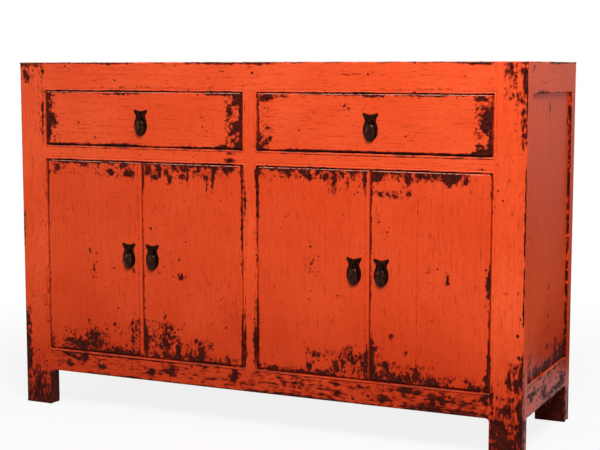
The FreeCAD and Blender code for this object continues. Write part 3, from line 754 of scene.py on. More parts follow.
for sideX, sideName in ((-1, "Left"), (1, "Right")):
    outer, inner = sideLook["outer"] * sideX, sideLook["inner"] * sideX
    outerFace = "x+" if sideX > 0 else "x-"
    for node, name, z0, z1, spots, zones in (
            ("top_rail_", "topRail", caseWork["drawerTop"], caseWork["top"], "topSpots", []),
            ("bottom_rail_", "bottomRail", caseWork["legTop"], caseWork["sideRailTop"], "bottomSpots",
             sideLook["bottomZones"])):
        isTop = z1 == caseWork["top"]
        if isTop:
            edges = {outerFace + "z+": railLook["topArris"], outerFace + "z-": sideLook["panelArris"]}
        else:
            edges = {outerFace + "z-": railLook["lowArris"], outerFace + "z+": sideLook["panelArris"]}
        shape = board([min(outer, inner), innerFrontY, z0], [max(outer, inner), innerBackY, z1],
                      [sideStep, faceStep * 1.3, faceStep], edges, None, None,
                      sideWearing(sideLook[spots], zones, 120 + sideX), seed=122 + sideX,
                      edgeWear=railLook["edgeWear"],
                      rebate=(topLedge, [("x", topReachX * sideX, -sideX)]) if isTop else None)
        makePiece(name + sideName, [shape], materialOf["y"], "carcass",
                  [node + sideName.lower()])
    panelOut, panelIn = sideLook["panelOuter"] * sideX, sideLook["panelInner"] * sideX
    panel = board([min(panelOut, panelIn), innerFrontY, caseWork["sideRailTop"]],
                  [max(panelOut, panelIn), innerBackY, caseWork["drawerTop"]],
                  [sideStep, faceStep * 1.3, faceStep * 1.3], {}, None, None,
                  sideWearing(sideLook["panelSpots"], sideLook["panelZones"], 130 + sideX),
                  seed=131 + sideX, planed=0)
    makePiece("sidePanel" + sideName, [panel], materialOf["z"], "carcass",
              ["side_panel_" + sideName.lower()])

for node, name, low, high, edges, grain in (
        ("top_rail_back", "topRailBack", [leftEdge, innerBackY, caseWork["drawerTop"]],
         [rightEdge, caseBackY, caseWork["top"]], {"y+z+": railLook["topArris"]}, "x"),
        ("bottom_rail_back", "bottomRailBack", [leftEdge, innerBackY, caseWork["legTop"]],
         [rightEdge, caseBackY, caseWork["doorBottom"]], {"y+z-": railLook["lowArris"]}, "x"),
        ("back_stile", "backStile", [stileEdges[0], innerBackY, caseWork["doorBottom"]],
         [stileEdges[1], caseBackY, caseWork["drawerTop"]], {}, "z")):
    shape = board(low, high, [faceStep * 2, sideStep, faceStep * 2], edges, seed=140 + len(name), planed=0,
                  edgeWear=railLook["edgeWear"], baseWear=0.14,
                  rebate=(topLedge, [("y", topBackY, -1)]) if high[2] == caseWork["top"] else None)
    shapes = [shape]
    if node == "bottom_rail_back":
        shapes += [bracketShape(x, s, innerBackY, caseBackY, caseWork["legTop"], railLook["bracket"])
                   for x, s in ((leftEdge, 1), (rightEdge, -1))]
    makePiece(name, shapes, materialOf[grain], "carcass", [node])

topLook = {"count": 3, "arrises": {"y-z+": 0.8, "y+z+": 0.8, "x-z+": 0.6, "x+z+": 0.6}}
topBoards = []
boardDepth = (topBackY - topFrontY) / topLook["count"]
for index in range(topLook["count"]):
    start = topFrontY + boardDepth * index
    topBoards.append(board([-topReachX, start, topLedge], [topReachX, start + boardDepth, caseWork["top"]],
                           [faceStep * 2.4, faceStep * 1.6, 9], topLook["arrises"],
                           seed=150 + index, planed=0, edgeWear=0.5, baseWear=0.16))
makePiece("topBoards", topBoards, materialOf["x"], "carcass", ["top_boards"])
print("sides, back and top done")

# doors: two boards each, pivots above and below, a planed bead on the overlapping leaves
doorLook = {
    "gap": 3.0, "arris": 2.6, "beadWidth": 10.0, "beadGroove": 1.5, "beadSink": 1.0, "jointHalf": 0.9,
    "pivotRadius": 6.0, "pivotInset": 16.0, "pivotSetback": 8.0, "pivotReach": 12.0, "pivotSunk": 0.5,
    1: {"bead": 1, "joint": -440.0, "jointCut": 0.1,
        "spots": [(-568, 630, 9, 10, 0.75), (-596, 605, 3, 34, 0.6), (-480, 641, 7, 5, 0.7),
                  (-445, 645, 8, 4, 0.6), (-402, 620, 6, 7, 0.8), (-408, 628, 4, 4, 0.7),
                  (-365, 640, 7, 5, 0.75), (-352, 621, 8, 7, 0.85), (-338, 622, 6, 6, 0.7),
                  (-520, 646, 22, 3, 0.55), (-470, 420, 3, 5, 0.7), (-450, 412, 3, 4, 0.6),
                  (-458, 370, 3, 16, 0.6), (-340, 374, 4, 5, 0.6), (-500, 172, 50, 13, 0.5),
                  (-460, 195, 14, 22, 0.65), (-505, 175, 7, 7, 0.7), (-530, 175, 6, 6, 0.6),
                  (-475, 235, 5, 6, 0.6), (-400, 230, 5, 4, 0.55), (-345, 205, 3, 36, 0.6),
                  (-375, 162, 44, 6, 0.5), (-590, 175, 6, 20, 0.4)],
        "zones": [(-560, -420, 155, 215, 0.26), (-590, -330, 612, 650, 0.2), (-420, -318, 155, 180, 0.3),
                  (-352, -318, 180, 250, 0.28), (-430, -352, 180, 240, 0.17)]},
    2: {"bead": 0, "joint": -199.0, "jointCut": 0.1,
        "spots": [(-309, 608, 2.5, 32, 0.75), (-293, 632, 6, 9, 0.85), (-284, 618, 3, 8, 0.6),
                  (-275, 613, 7, 5, 0.85), (-262, 631, 6, 12, 0.85), (-240, 627, 7, 6, 0.85),
                  (-231, 610, 6, 9, 0.85), (-213, 636, 10, 4, 0.6), (-195, 620, 7, 5, 0.75),
                  (-186, 634, 8, 5, 0.6), (-179, 618, 2, 16, 0.7), (-165, 630, 2, 16, 0.65),
                  (-150, 634, 6, 6, 0.5), (-128, 600, 2, 17, 0.75), (-110, 614, 3, 22, 0.85),
                  (-103, 634, 5, 6, 0.7), (-65, 641, 17, 8, 0.95), (-29, 630, 3, 18, 0.8),
                  (-140, 645, 60, 3, 0.4), (-205, 412, 4, 4, 0.65), (-200, 368, 12, 7, 0.7),
                  (-180, 317, 4, 4, 0.65), (-250, 262, 4, 5, 0.6), (-305, 205, 4, 38, 0.75),
                  (-243, 222, 18, 14, 0.45), (-245, 190, 8, 11, 0.75), (-210, 185, 5, 14, 0.75),
                  (-160, 205, 5, 6, 0.65), (-145, 180, 8, 13, 0.75), (-200, 164, 70, 7, 0.5),
                  (-70, 170, 6, 10, 0.5)],
        "zones": [(-306, -60, 612, 650, 0.26), (-308, -110, 155, 212, 0.3), (-110, -30, 155, 175, 0.3),
                  (-300, -190, 212, 252, 0.2)]},
    3: {"bead": 1, "joint": 188.0, "jointCut": 0.1,
        "spots": [(10, 628, 4, 17, 0.6), (18, 640, 6, 8, 0.6), (95, 640, 7, 11, 0.8),
                  (135, 641, 7, 6, 0.75), (150, 630, 5, 8, 0.7), (172, 640, 5, 6, 0.55),
                  (195, 630, 7, 8, 0.75), (215, 625, 4, 17, 0.8), (232, 638, 5, 6, 0.6),
                  (250, 616, 4, 8, 0.8), (270, 645, 10, 4, 0.7), (293, 628, 3, 16, 0.8),
                  (60, 646, 24, 3, 0.45), (240, 543, 3, 5, 0.4), (70, 497, 3, 4, 0.6),
                  (155, 465, 3, 4, 0.6), (150, 415, 16, 14, 0.28), (55, 160, 10, 5, 0.65),
                  (150, 172, 7, 11, 0.75), (165, 205, 5, 6, 0.6), (185, 162, 22, 7, 0.6),
                  (220, 183, 6, 7, 0.75), (240, 190, 5, 10, 0.75), (262, 200, 5, 7, 0.7),
                  (290, 195, 4, 9, 0.7), (300, 200, 3, 38, 0.7), (250, 222, 20, 10, 0.4),
                  (110, 160, 30, 4, 0.5)],
        "zones": [(18, 300, 622, 650, 0.26), (200, 300, 590, 622, 0.14), (140, 300, 155, 222, 0.3),
                  (14, 140, 155, 172, 0.3)]},
    4: {"bead": 0, "joint": 424.0, "jointCut": 0.7,
        "spots": [(309, 628, 4, 18, 0.8), (325, 640, 10, 10, 0.9), (300, 594, 3, 4, 0.7),
                  (335, 594, 3, 4, 0.6), (368, 596, 3, 4, 0.6), (402, 598, 4, 4, 0.6),
                  (402, 635, 6, 14, 0.8), (430, 641, 7, 6, 0.7), (450, 640, 8, 7, 0.8),
                  (470, 643, 6, 5, 0.7), (500, 636, 14, 13, 0.85), (520, 646, 22, 4, 0.6),
                  (540, 630, 4, 6, 0.6), (360, 645, 16, 3, 0.5), (452, 425, 4, 5, 0.7),
                  (475, 430, 3, 4, 0.65), (498, 402, 3, 11, 0.7), (360, 262, 5, 5, 0.7),
                  (400, 228, 4, 4, 0.65), (580, 485, 3, 5, 0.4), (592, 396, 3, 24, 0.7),
                  (314, 200, 5, 40, 0.8), (385, 168, 60, 9, 0.6), (350, 190, 8, 10, 0.6),
                  (420, 185, 5, 9, 0.55), (470, 165, 20, 5, 0.5), (545, 175, 5, 6, 0.7),
                  (590, 185, 4, 7, 0.7), (595, 195, 3, 32, 0.6), (570, 162, 20, 5, 0.5)],
        "zones": [(305, 545, 624, 650, 0.28), (305, 410, 585, 606, 0.3), (310, 470, 155, 205, 0.3),
                  (470, 600, 155, 185, 0.28), (308, 345, 205, 250, 0.24)]},
}


def doorRelief(look, beadEdge, joint, cut):
    def relief(points):
        lift = np.zeros(len(points))
        if look["bead"]:
            out = beadEdge - points[:, 0]
            half = doorLook["beadWidth"] / 2
            crown = np.sqrt(np.clip(1 - ((out - half) / half) ** 2, 0, 1))
            rounded = -doorLook["beadSink"] * (1 - crown) + 0.1 * crown
            lift = np.where(out < doorLook["beadWidth"], rounded, lift)
            groove = (out > doorLook["beadWidth"]) & (out < doorLook["beadWidth"] + doorLook["beadGroove"])
            lift = np.where(groove, -doorLook["beadSink"], lift)
        near = np.abs(points[:, 0] - joint) < doorLook["jointHalf"]
        return np.where(near, lift - cut, lift)
    return relief


for number in (1, 2, 3, 4):
    look = doorLook[number]
    node = f"door_{number}_boards"
    low, high = sizes(node)
    low[2], high[2] = caseWork["doorBottom"] + doorLook["gap"], caseWork["doorTop"] - doorLook["gap"]
    joint = look["joint"]
    cuts = {"x": [joint - 1.3, joint - 0.85, joint, joint + 0.85, joint + 1.3]}
    if look["bead"]:
        cuts["x"] += [high[0] - v for v in (0.6, 1.5, 3, 5, 7, 8.5, 9.4, 10.0, 10.2, 11.3, 11.6)]
    edges = {"y-z+": doorLook["arris"], "y-z-": doorLook["arris"], "x-y-": doorLook["arris"]}
    if not look["bead"]:
        edges["x+y-"] = doorLook["arris"]
    leaf = board(low, high, [faceStep, 20, faceStep], edges, cuts,
                 doorRelief(look, high[0], joint, look["jointCut"]),
                 frontWearing(look["spots"], look["zones"], seed=160 + number), seed=160 + number,
                 planed=0.22, edgeWear=0.85)
    hingeX = low[0] + doorLook["pivotInset"] if look["bead"] else high[0] - doorLook["pivotInset"]
    pivotY = low[1] + doorLook["pivotSetback"]
    pivots = []
    for start in (low[2] - doorLook["pivotReach"], high[2] - doorLook["pivotSunk"]):
        points, quads, caps = turned(doorLook["pivotRadius"], [hingeX, pivotY, start], "z",
                                     doorLook["pivotReach"] + doorLook["pivotSunk"])
        pivots.append((points, quads + caps, 0.2))
    makePiece(f"door{number}Boards", [leaf] + pivots, materials["lacquerDoor"], f"door_{number}",
              [node])
print("doors done")

# drawer fronts
drawerLook = {
    "gap": 2.5, "arris": 2.6,
    "left": {"spots": [(-590, 818, 6, 6, 0.85), (-585, 790, 4, 6, 0.75), (-585, 760, 9, 10, 0.85),
                       (-592, 728, 6, 13, 0.85), (-596, 700, 5, 12, 0.8), (-594, 775, 3, 40, 0.55),
                       (-568, 745, 5, 5, 0.6), (-520, 692, 24, 4, 0.7), (-365, 692, 38, 4.5, 0.7),
                       (-450, 691, 60, 2, 0.5), (-60, 779, 6, 6, 0.95), (-50, 801, 7, 5, 0.75),
                       (-42, 744, 9, 11, 0.8), (-56, 730, 5, 6, 0.7), (-36, 703, 8, 8, 0.9),
                       (-80, 694, 14, 5, 0.9), (-32, 770, 2.5, 48, 0.75), (-45, 720, 4, 5, 0.6),
                       (-90, 822, 44, 2.4, 0.7), (-40, 815, 10, 4, 0.7), (-400, 745, 26, 1, 0.35),
                       (-380, 820, 70, 1.6, 0.5)],
             "zones": [(-600, -565, 692, 824, 0.24), (-76, -26, 692, 824, 0.26)]},
    "right": {"spots": [(32, 815, 14, 7, 0.85), (70, 818, 26, 3, 0.6), (310, 821, 18, 3, 0.75),
                        (570, 816, 12, 5, 0.8), (586, 786, 9, 10, 0.85), (586, 758, 13, 14, 0.95),
                        (595, 720, 4, 22, 0.8), (567, 712, 9, 3, 0.75), (15, 758, 2.5, 24, 0.75),
                        (22, 720, 5, 6, 0.75), (35, 708, 6, 5, 0.75), (46, 716, 4, 4, 0.65),
                        (18, 698, 6, 6, 0.75), (240, 797, 3, 3, 0.7), (253, 790, 3, 3, 0.65),
                        (265, 752, 3, 3, 0.65), (395, 732, 4, 3, 0.65), (200, 692, 80, 2, 0.55),
                        (450, 692, 90, 2, 0.55), (575, 698, 16, 5, 0.7), (430, 822, 60, 1.6, 0.5)],
              "zones": [(14, 56, 692, 824, 0.24), (556, 600, 692, 824, 0.26)]},
}
for side in ("left", "right"):
    look = drawerLook[side]
    low, high = sizes(f"drawer_{side}_front")
    low[2] = caseWork["drawerBottom"] + drawerLook["gap"]
    high[2] = caseWork["drawerTop"] - drawerLook["gap"]
    edges = {"y-z+": drawerLook["arris"], "y-z-": drawerLook["arris"],
             "x-y-": drawerLook["arris"], "x+y-": drawerLook["arris"]}
    front = board(low, high, [faceStep, 20, faceStep], edges, None, None,
                  frontWearing(look["spots"], look["zones"], seed=180), seed=180 + len(side),
                  planed=0.22, edgeWear=0.85)
    makePiece(f"drawer{side.title()}Front", [front], materials["lacquerDrawer"], f"drawer_{side}",
              [f"drawer_{side}_front"])
print("drawers done")

# pulls: a shaped backplate with two ears, and an oval drop forked over the eye of a split pin
pullLook = {
    "widths": [(0, 17.8), (2.2, 19.4), (5, 19.3), (9, 17.6), (13, 15.0), (18, 13.8), (23, 14.8),
               (28, 16.9), (35, 18.3), (42, 18.6), (49, 17.8), (55, 15.4), (60, 11.6), (64, 7.0),
               (66, 3.6)],   # below the ears, half width
    "height": 66.0, "dip": 4.6, "dipPower": 1.25, "dipReach": 30,
    "rim": 0.55, "crown": 1.45, "columns": 18, "rows": 44,
    "axisBelow": 20.0, "axisOut": 5.2, "dropTop": 4.6, "dropLength": 42.0, "dropWidth": 26.0,
    "dropFront": 5.5, "dropBack": 2.9, "cheekRadius": 3.0, "cheekThickness": 2.6, "cheekGap": 2.3,
    "pinRadius": 1.5,
}


def smoothAlong(table, where):
    # a smooth curve through (place, value) pairs
    places = np.array([p for p, v in table], float)
    values = np.array([v for p, v in table], float)
    slopes = np.gradient(values, places)
    index = np.clip(np.searchsorted(places, where, side="right") - 1, 0, len(places) - 2)
    span = places[index + 1] - places[index]
    t = (where - places[index]) / span
    h00, h10 = 2 * t**3 - 3 * t**2 + 1, t**3 - 2 * t**2 + t
    h01, h11 = -2 * t**3 + 3 * t**2, t**3 - t**2
    return h00 * values[index] + h10 * span * slopes[index] + h01 * values[index + 1] \
        + h11 * span * slopes[index + 1]


def plateShape(x, earZ, faceY):
    look = pullLook
    columns, rows = look["columns"], look["rows"]
    across = np.sin(np.linspace(-math.pi / 2, math.pi / 2, columns + 1))
    downs = np.linspace(0, look["height"], rows + 1)
    half = smoothAlong(look["widths"], downs)
    front, back = [], []
    for row, down in enumerate(downs):
        for u in across:
            dip = look["dip"] * (1 - abs(u) ** look["dipPower"]) * max(0.0, 1 - down / look["dipReach"]) ** 2
            place = [x + u * half[row], 0.0, earZ - down - dip]
            ends = min(1.0, (down + 0.4) / 5, (look["height"] - down + 0.4) / 7)
            rise = look["rim"] + (look["crown"] - look["rim"]) * math.sqrt(max(0.0, 1 - u * u)) ** 0.8 \
                * math.sin(ends * math.pi / 2)
            front.append([place[0], faceY - rise, place[2]])
            back.append([place[0], faceY, place[2]])
    count = (rows + 1) * (columns + 1)

    def at(row, column):
        return row * (columns + 1) + column

    faces = []
    for r in range(rows):
        for c in range(columns):
            faces.append([at(r, c), at(r + 1, c), at(r + 1, c + 1), at(r, c + 1)])
            faces.append([count + v for v in (at(r, c), at(r, c + 1), at(r + 1, c + 1), at(r + 1, c))])
    rim = [at(0, c) for c in range(columns)] + [at(r, columns) for r in range(rows)] \
        + [at(rows, c) for c in range(columns, 0, -1)] + [at(r, 0) for r in range(rows, 0, -1)]
    for i, v in enumerate(rim):
        w = rim[(i + 1) % len(rim)]
        faces.append([v, w, count + w, count + v])
    return np.array(front + back), faces, 0.0


def ovalDrop(x, axisY, axisZ):
    look = pullLook
    centreZ = axisZ - look["dropTop"] - look["dropLength"] / 2
    backY, depth = axisY + look["dropBack"], look["dropFront"] + look["dropBack"]
    sides = 44
    # rings from the crown of the front, over the rim, to the middle of the back
    rings = [(math.sin(a), depth * (0.30 + 0.70 * math.cos(a))) for a in
             [math.radians(v) for v in (9, 18, 28, 38, 48, 58, 67, 75, 82, 87, 90)]]
    rings += [(0.995, depth * 0.20), (0.96, depth * 0.09), (0.88, depth * 0.03), (0.74, 0.0), (0.4, 0.0)]
    points = [[x, backY - depth, centreZ]]
    for reach, out in rings:
        for i in range(sides):
            angle = 2 * math.pi * i / sides
            # fuller than an ellipse, and fullest below the middle
            cosine, sine = math.cos(angle), math.sin(angle)
            wide = math.copysign(abs(cosine) ** (0.86 if sine < 0 else 0.97), cosine)
            tall = math.copysign(abs(sine) ** 0.95, sine)
            points.append([x + look["dropWidth"] / 2 * reach * wide,
                           backY - out, centreZ + look["dropLength"] / 2 * reach * tall])
    points.append([x, backY, centreZ])
    faces = []
    for i in range(sides):
        j = (i + 1) % sides
        faces.append([0, 1 + i, 1 + j])
        for k in range(len(rings) - 1):
            a, b = 1 + k * sides, 1 + (k + 1) * sides
            faces.append([a + i, b + i, b + j, a + j])
        last = 1 + (len(rings) - 1) * sides
        faces.append([last + i, len(points) - 1, last + j])
    return np.array(points), faces, 0.0


def addPull(label, body):
    look = pullLook
    plateLow, plateHigh = sizes(f"{label}_pull_plate")
    x, earZ, faceY = (plateLow[0] + plateHigh[0]) / 2, plateHigh[2], plateHigh[1]
    axisY, axisZ = faceY - look["axisOut"], earZ - look["axisBelow"]
    makePiece(f"{label}PullPlate", [plateShape(x, earZ, faceY)], materials["iron"], body,
              [f"{label}_pull_plate"], sharp=50)
    outer = look["cheekGap"] + look["cheekThickness"]
    parts = [ovalDrop(x, axisY, axisZ)]
    points, quads, caps = turned(look["pinRadius"], [x - outer, axisY, axisZ], "x", 2 * outer, 20, 0.3)
    parts.append((points, quads + caps, 0.0))
    for start in (x - outer, x + look["cheekGap"]):
        points, quads, caps = turned(look["cheekRadius"], [start, axisY, axisZ], "x", look["cheekThickness"],
                                     24, 0.6)
        parts.append((points, quads + caps, 0.0))
        arm = board([start, axisY - look["cheekRadius"] + 0.4, axisZ - look["dropTop"] - 5],
                    [start + look["cheekThickness"], axisY + look["cheekRadius"] - 0.5, axisZ],
                    2.0, {"x-y-": 0.6, "x+y-": 0.6, "x-y+": 0.6, "x+y+": 0.6}, planed=0)
        parts.append((arm[0], arm[1], 0.0))
    makePiece(f"{label}PullDrop", parts, materials["ironHandled"], f"{body}_drop",
              [f"{label}_pull_drop"], sharp=50)
    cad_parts[f"{label}_split_pin"].material_slots[0].material = materials["iron"]


for number in (1, 2, 3, 4):
    addPull(f"door_{number}", f"door_{number}")
for side in ("left", "right"):
    addPull(f"drawer_{side}", f"drawer_{side}")
print("pulls done")

# inside: the plain joinery keeps its shapes and takes the look of bare or stained boards
insideWood = {
    "x": ["door_and_drawer_stops", "drawer_left_back", "drawer_right_back",
          "drawer_left_bottom", "drawer_right_bottom"] + [f"door_{n}_battens" for n in (1, 2, 3, 4)],
    "y": ["drawer_runners", "shelf_bearers", "drawer_left_sides", "drawer_right_sides"],
}
insideMaterial = {"x": materials["softwoodAcross"], "y": materials["softwoodDeepways"]}
for grain, nodes in insideWood.items():
    for node in nodes:
        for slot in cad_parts[node].material_slots:
            slot.material = insideMaterial[grain]
for node in ("back_panel_left", "back_panel_right"):
    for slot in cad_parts[node].material_slots:
        slot.material = materials["stainedBack"]
print("inside done")

# Geometry Nodes: rows of boards for the floor and the shelf, and nail heads on the battens

def newTree(name, inputs):
    tree = bpy.data.node_groups.new(name, "GeometryNodeTree")
    tree.is_modifier = True
    tree.interface.new_socket("Geometry", in_out="INPUT", socket_type="NodeSocketGeometry")
    for label, kind in inputs:
        tree.interface.new_socket(label, in_out="INPUT", socket_type=kind)
    tree.interface.new_socket("Geometry", in_out="OUTPUT", socket_type="NodeSocketGeometry")
    return tree, addNode(tree, "NodeGroupInput").outputs


def finishTree(tree, geometry, material):
    real = addNode(tree, "GeometryNodeRealizeInstances", {"Geometry": geometry})
    painted = addNode(tree, "GeometryNodeSetMaterial", {"Geometry": real.outputs["Geometry"],
                                                        "Material": material})
    addNode(tree, "NodeGroupOutput", {"Geometry": painted.outputs["Geometry"]})


def grow(name, points, tree, values, place=(0, 0, 0)):
    # runs a tree on an object of points and keeps the result as a plain mesh in its place
    seedMesh = bpy.data.meshes.new(name + "Points")
    seedMesh.from_pydata(points, [], [])
    grower = bpy.data.objects.new(name + "Grower", seedMesh)
    bpy.context.scene.collection.objects.link(grower)
    modifier = grower.modifiers.new("grow", "NODES")
    modifier.node_group = tree
    for item in tree.interface.items_tree:
        if item.in_out == "INPUT" and item.name in values:
            modifier[item.identifier] = values[item.name]
    grower.update_tag()
    bpy.context.view_layer.update()
    ready = grower.evaluated_get(bpy.context.evaluated_depsgraph_get())
    mesh = bpy.data.meshes.new_from_object(ready)
    mesh.name = name
    mesh.transform(Matrix.Translation(Vector(place)))
    grower.modifiers.clear()
    bpy.data.objects.remove(grower)
    piece = bpy.data.objects.new(name, mesh)
    bpy.context.scene.collection.objects.link(piece)
    return piece


boardRow, given = newTree("boardRow", [("Length", "NodeSocketFloat"), ("Board Width", "NodeSocketFloat"),
                                       ("Thickness", "NodeSocketFloat"), ("Arris", "NodeSocketFloat"),
                                       ("Gap", "NodeSocketFloat"), ("Count", "NodeSocketInt"),
                                       ("Material", "NodeSocketMaterial")])
sawn = addNode(boardRow, "ShaderNodeMath", {0: given["Board Width"], 1: given["Gap"]}, 0,
               operation="SUBTRACT")
outline = addNode(boardRow, "GeometryNodeCurvePrimitiveQuadrilateral", {"Width": sawn,
                                                                       "Height": given["Thickness"]})
eased = addNode(boardRow, "GeometryNodeFilletCurve", {"Curve": outline.outputs["Curve"], "Count": 3,
                                                      "Radius": given["Arris"]}, mode="POLY")
lineEnd = addNode(boardRow, "ShaderNodeCombineXYZ", {"X": given["Length"]})
line = addNode(boardRow, "GeometryNodeCurvePrimitiveLine", {"End": lineEnd.outputs["Vector"]})
plank = addNode(boardRow, "GeometryNodeCurveToMesh", {"Curve": line.outputs["Curve"],
                                                      "Profile Curve": eased.outputs["Curve"],
                                                      "Fill Caps": True})
pitch = addNode(boardRow, "ShaderNodeCombineXYZ", {"Y": given["Board Width"]})
marks = addNode(boardRow, "GeometryNodeMeshLine", {"Count": given["Count"],
                                                  "Offset": pitch.outputs["Vector"]})
planks = addNode(boardRow, "GeometryNodeInstanceOnPoints", {"Points": marks.outputs["Mesh"],
                                                            "Instance": plank.outputs["Mesh"]})
finishTree(boardRow, planks.outputs["Instances"], given["Material"])

rowLook = {"count": 3, "arris": 1.0, "gap": 0.7}
for node, name in (("floor_boards", "floorBoards"), ("shelf_boards", "shelfBoards")):
    low, high = sizes(node)
    wide = (high[1] - low[1]) / rowLook["count"]
    thick = high[2] - low[2]
    row = grow(name, [(0, 0, 0)], boardRow, {
        "Length": (high[0] - low[0]) * mm, "Board Width": wide * mm, "Thickness": thick * mm,
        "Arris": rowLook["arris"] * mm, "Gap": rowLook["gap"] * mm, "Count": rowLook["count"],
        "Material": materials["softwoodAcross"]},
        (low[0] * mm, (low[1] + wide / 2) * mm, (low[2] + thick / 2) * mm))
    found = [min(v.co[a] for v in row.data.vertices) / mm for a in range(3)], \
        [max(v.co[a] for v in row.data.vertices) / mm for a in range(3)]
    print(name, [round(v, 1) for v in found[0] + found[1]], "in", [round(v, 1) for v in low + high])
    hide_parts(node)
    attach(row, "carcass")

nailHeads, given = newTree("nailHeads", [("Head Radius", "NodeSocketFloat"), ("Rise", "NodeSocketFloat"),
                                         ("Seed", "NodeSocketInt"), ("Material", "NodeSocketMaterial")])
dome = addNode(nailHeads, "GeometryNodeMeshUVSphere", {"Segments": 9, "Rings": 6, "Radius": 1.0})
flatter = addNode(nailHeads, "ShaderNodeCombineXYZ", {"X": given["Head Radius"], "Y": given["Head Radius"],
                                                      "Z": given["Rise"]})
head = addNode(nailHeads, "GeometryNodeTransform", {"Geometry": dome.outputs["Mesh"],
                                                    "Rotation": [math.radians(90), 0, 0],
                                                    "Scale": flatter.outputs["Vector"]})
spin = addNode(nailHeads, "FunctionNodeRandomValue", {"Min": [0, 0, 0], "Max": [0, 6.28, 0],
                                                      "Seed": given["Seed"]}, data_type="FLOAT_VECTOR")
bigness = addNode(nailHeads, "FunctionNodeRandomValue", {2: 0.85, 3: 1.12, "Seed": given["Seed"]},
                  data_type="FLOAT")
nails = addNode(nailHeads, "GeometryNodeInstanceOnPoints", {
    "Points": given["Geometry"], "Instance": head.outputs["Geometry"],
    "Rotation": spin.outputs[0], "Scale": bigness.outputs[1]})
finishTree(nailHeads, nails.outputs["Instances"], given["Material"])

nailLook = {"radius": 3.0, "rise": 1.1, "fromEnd": 16.0, "fromEdge": 11.0, "columns": 4, "battenWidth": 40.0}
for number in (1, 2, 3, 4):
    low, high = sizes(f"door_{number}_battens")
    places = []
    for bottom in (low[2], high[2] - nailLook["battenWidth"]):
        for level in (bottom + nailLook["fromEdge"],
                      bottom + nailLook["battenWidth"] - nailLook["fromEdge"]):
            for column in range(nailLook["columns"]):
                step = (high[0] - low[0] - 2 * nailLook["fromEnd"]) / (nailLook["columns"] - 1)
                across = low[0] + nailLook["fromEnd"] + step * column
                places.append((across * mm, high[1] * mm, level * mm))
    heads = grow(f"door{number}Nails", places, nailHeads, {
        "Head Radius": nailLook["radius"] * mm, "Rise": nailLook["rise"] * mm, "Seed": number,
        "Material": materials["iron"]})
    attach(heads, f"door_{number}")
print("rows and nails done")

# floor, lights and camera
studio = {
    "floorHalf": 9.0, "floorWhite": "#F6F5F3", "floorGrey": "#9C9A97", "fibreSize": 3.0,
    "floorGlow": 0.85, "glowFrom": 0.75, "glowFull": 2.2, "fill": 0.30,
    "key": ((1.40, -2.1, 2.7), (0.1, -0.2, 0.5), 1.2, 94.0),        # place, aim, size, watts
    "right": ((3.4, -0.2, 2.4), (0.6, 0, 0.5), 1.6, 6.0),
    "left": ((-2.6, -2.6, 1.6), (-0.3, -0.2, 0.5), 1.6, 15.0),
    "cardPlace": (0.95, 0.72), "cardWide": 1.8, "cardHigh": 1.5, "cardTurn": 14.0,
    "cardTones": ((0.10, 1.05, 0.02, 0.66), (1.05, 1.5, 0.0, 0.8)),    # heights, then strengths
    "camera": (1.4890, -3.1084, 0.8832), "pitch": 6.578, "yaw": 25.162, "lens": 81.21,
}


def seenDirectly(tree):
    # 1 for camera, glossy and transmission rays
    light = addNode(tree, "ShaderNodeLightPath").outputs
    either = addNode(tree, "ShaderNodeMath", {0: light["Is Camera Ray"], 1: light["Is Glossy Ray"]}, 0,
                     operation="MAXIMUM")
    return addNode(tree, "ShaderNodeMath", {0: either, 1: light["Is Transmission Ray"]}, 0,
                   operation="MAXIMUM")


def paleFloor(name):
    # matt seamless paper: white where it is lit, with the soft shadow kept, and a greyer
    # bounce on to the case above it
    material, tree, output = newMaterial(name)
    seen = seenDirectly(tree)
    fibre = grainNoise(tree, "z", studio["fibreSize"], studio["fibreSize"], 3.0, 0.5)
    tone = addNode(tree, "ShaderNodeMix", {"Factor": seen, 6: hexLinear(studio["floorGrey"]),
                                           7: hexLinear(studio["floorWhite"])}, 2, data_type="RGBA")
    bump = addNode(tree, "ShaderNodeBump", {"Strength": 0.05, "Distance": 0.2 * mm, "Height": fibre},
                   "Normal")
    paper = addNode(tree, "ShaderNodeBsdfPrincipled", {"Base Color": tone, "Roughness": 0.9,
                                                       "Specular IOR Level": 0.2, "Normal": bump}, 0)
    glow = addNode(tree, "ShaderNodeEmission", {"Color": [1, 1, 1, 1], "Strength": 1.0}, 0)
    # the glow's share grows away from the case, so that the floor has no far edge
    place = addNode(tree, "ShaderNodeTexCoord", out="Object")
    away = addNode(tree, "ShaderNodeVectorMath", {0: place}, "Value", operation="LENGTH")
    share = addNode(tree, "ShaderNodeMapRange", {0: away, 1: studio["glowFrom"], 2: studio["glowFull"],
                                                 3: studio["floorGlow"], 4: 1.0}, 0,
                    interpolation_type="SMOOTHSTEP")
    share = addNode(tree, "ShaderNodeMath", {0: seen, 1: share}, 0, operation="MULTIPLY")
    both = addNode(tree, "ShaderNodeMixShader", {0: share, 1: paper, 2: glow}, 0)
    tree.links.new(both, output.inputs["Surface"])
    return material


half = studio["floorHalf"]
floorMesh = bpy.data.meshes.new("floor")
floorMesh.from_pydata([(-half, -half, 0), (half, -half, 0), (half, half, 0), (-half, half, 0)], [],
                      [(0, 1, 2, 3)])
floorMesh.materials.append(paleFloor("mattPaperFloor"))
floor = bpy.data.objects.new("floor", floorMesh)
bpy.context.scene.collection.objects.link(floor)

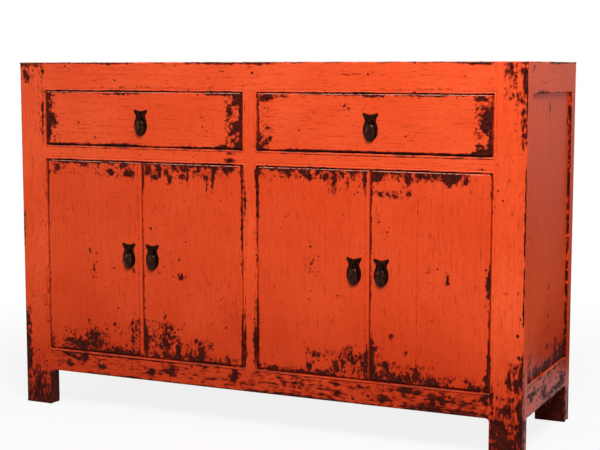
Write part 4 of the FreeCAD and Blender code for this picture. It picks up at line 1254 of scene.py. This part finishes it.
# a card behind the right-hand side, dark below and pale above, seen only in the lacquer's gloss
cardX, cardY = studio["cardPlace"]
turn = math.radians(studio["cardTurn"])
reachX, reachY = math.cos(turn) * studio["cardWide"] / 2, -math.sin(turn) * studio["cardWide"] / 2
cardMesh = bpy.data.meshes.new("shadedCard")
cardMesh.from_pydata([(cardX - reachX, cardY - reachY, 0.0), (cardX + reachX, cardY + reachY, 0.0),
                      (cardX + reachX, cardY + reachY, studio["cardHigh"]),
                      (cardX - reachX, cardY - reachY, studio["cardHigh"])], [], [(0, 1, 2, 3)])
cardMaterial, cardTree, cardOutput = newMaterial("shadedCard")
cardPoint = addNode(cardTree, "ShaderNodeTexCoord", out="Object")
cardRise = addNode(cardTree, "ShaderNodeSeparateXYZ", {"Vector": cardPoint}, "Z")
cardTones = [
    addNode(cardTree, "ShaderNodeMapRange", {0: cardRise, 1: low, 2: high, 3: least, 4: most}, 0,
            interpolation_type="SMOOTHSTEP")
    for low, high, least, most in studio["cardTones"]]
cardTone = addNode(cardTree, "ShaderNodeMath", {0: cardTones[0], 1: cardTones[1]}, 0, operation="ADD")
cardShader = addNode(cardTree, "ShaderNodeEmission", {"Color": [1, 1, 1, 1], "Strength": cardTone}, 0)
cardTree.links.new(cardShader, cardOutput.inputs["Surface"])
cardMesh.materials.append(cardMaterial)
card = bpy.data.objects.new("shadedCard", cardMesh)
for ray in ("camera", "diffuse", "transmission", "volume_scatter", "shadow"):
    setattr(card, "visible_" + ray, False)
bpy.context.scene.collection.objects.link(card)

world = bpy.data.worlds.new("studioWorld")
bpy.context.scene.world = world
world.use_nodes = True
worldTree = world.node_tree
worldTree.nodes.clear()
strength = addNode(worldTree, "ShaderNodeMix", {"Factor": seenDirectly(worldTree), 2: studio["fill"],
                                                3: 1.0}, 0, data_type="FLOAT")
sky = addNode(worldTree, "ShaderNodeBackground", {"Color": [1, 1, 1, 1], "Strength": strength}, 0)
addNode(worldTree, "ShaderNodeOutputWorld", {"Surface": sky})


def softLamp(name, place, aim, size, power):
    lamp = bpy.data.lights.new(name, "AREA")
    lamp.shape = "SQUARE"
    lamp.size = size
    lamp.energy = power
    holder = bpy.data.objects.new(name, lamp)
    holder.location = place
    holder.rotation_euler = (Vector(aim) - Vector(place)).to_track_quat("-Z", "Y").to_euler()
    bpy.context.scene.collection.objects.link(holder)


for lampName in ("key", "right", "left"):
    softLamp(lampName + "Lamp", *studio[lampName])

camera = bpy.data.cameras.new("camera")
camera.sensor_width = 36.0
camera.sensor_fit = "HORIZONTAL"
camera.lens = studio["lens"]
cameraHolder = bpy.data.objects.new("camera", camera)
cameraHolder.location = studio["camera"]
cameraHolder.rotation_euler = (math.radians(90 - studio["pitch"]), 0, math.radians(studio["yaw"]))
bpy.context.scene.collection.objects.link(cameraHolder)
bpy.context.scene.camera = cameraHolder
bpy.context.scene.view_settings.view_transform = "Standard"
print("studio done")
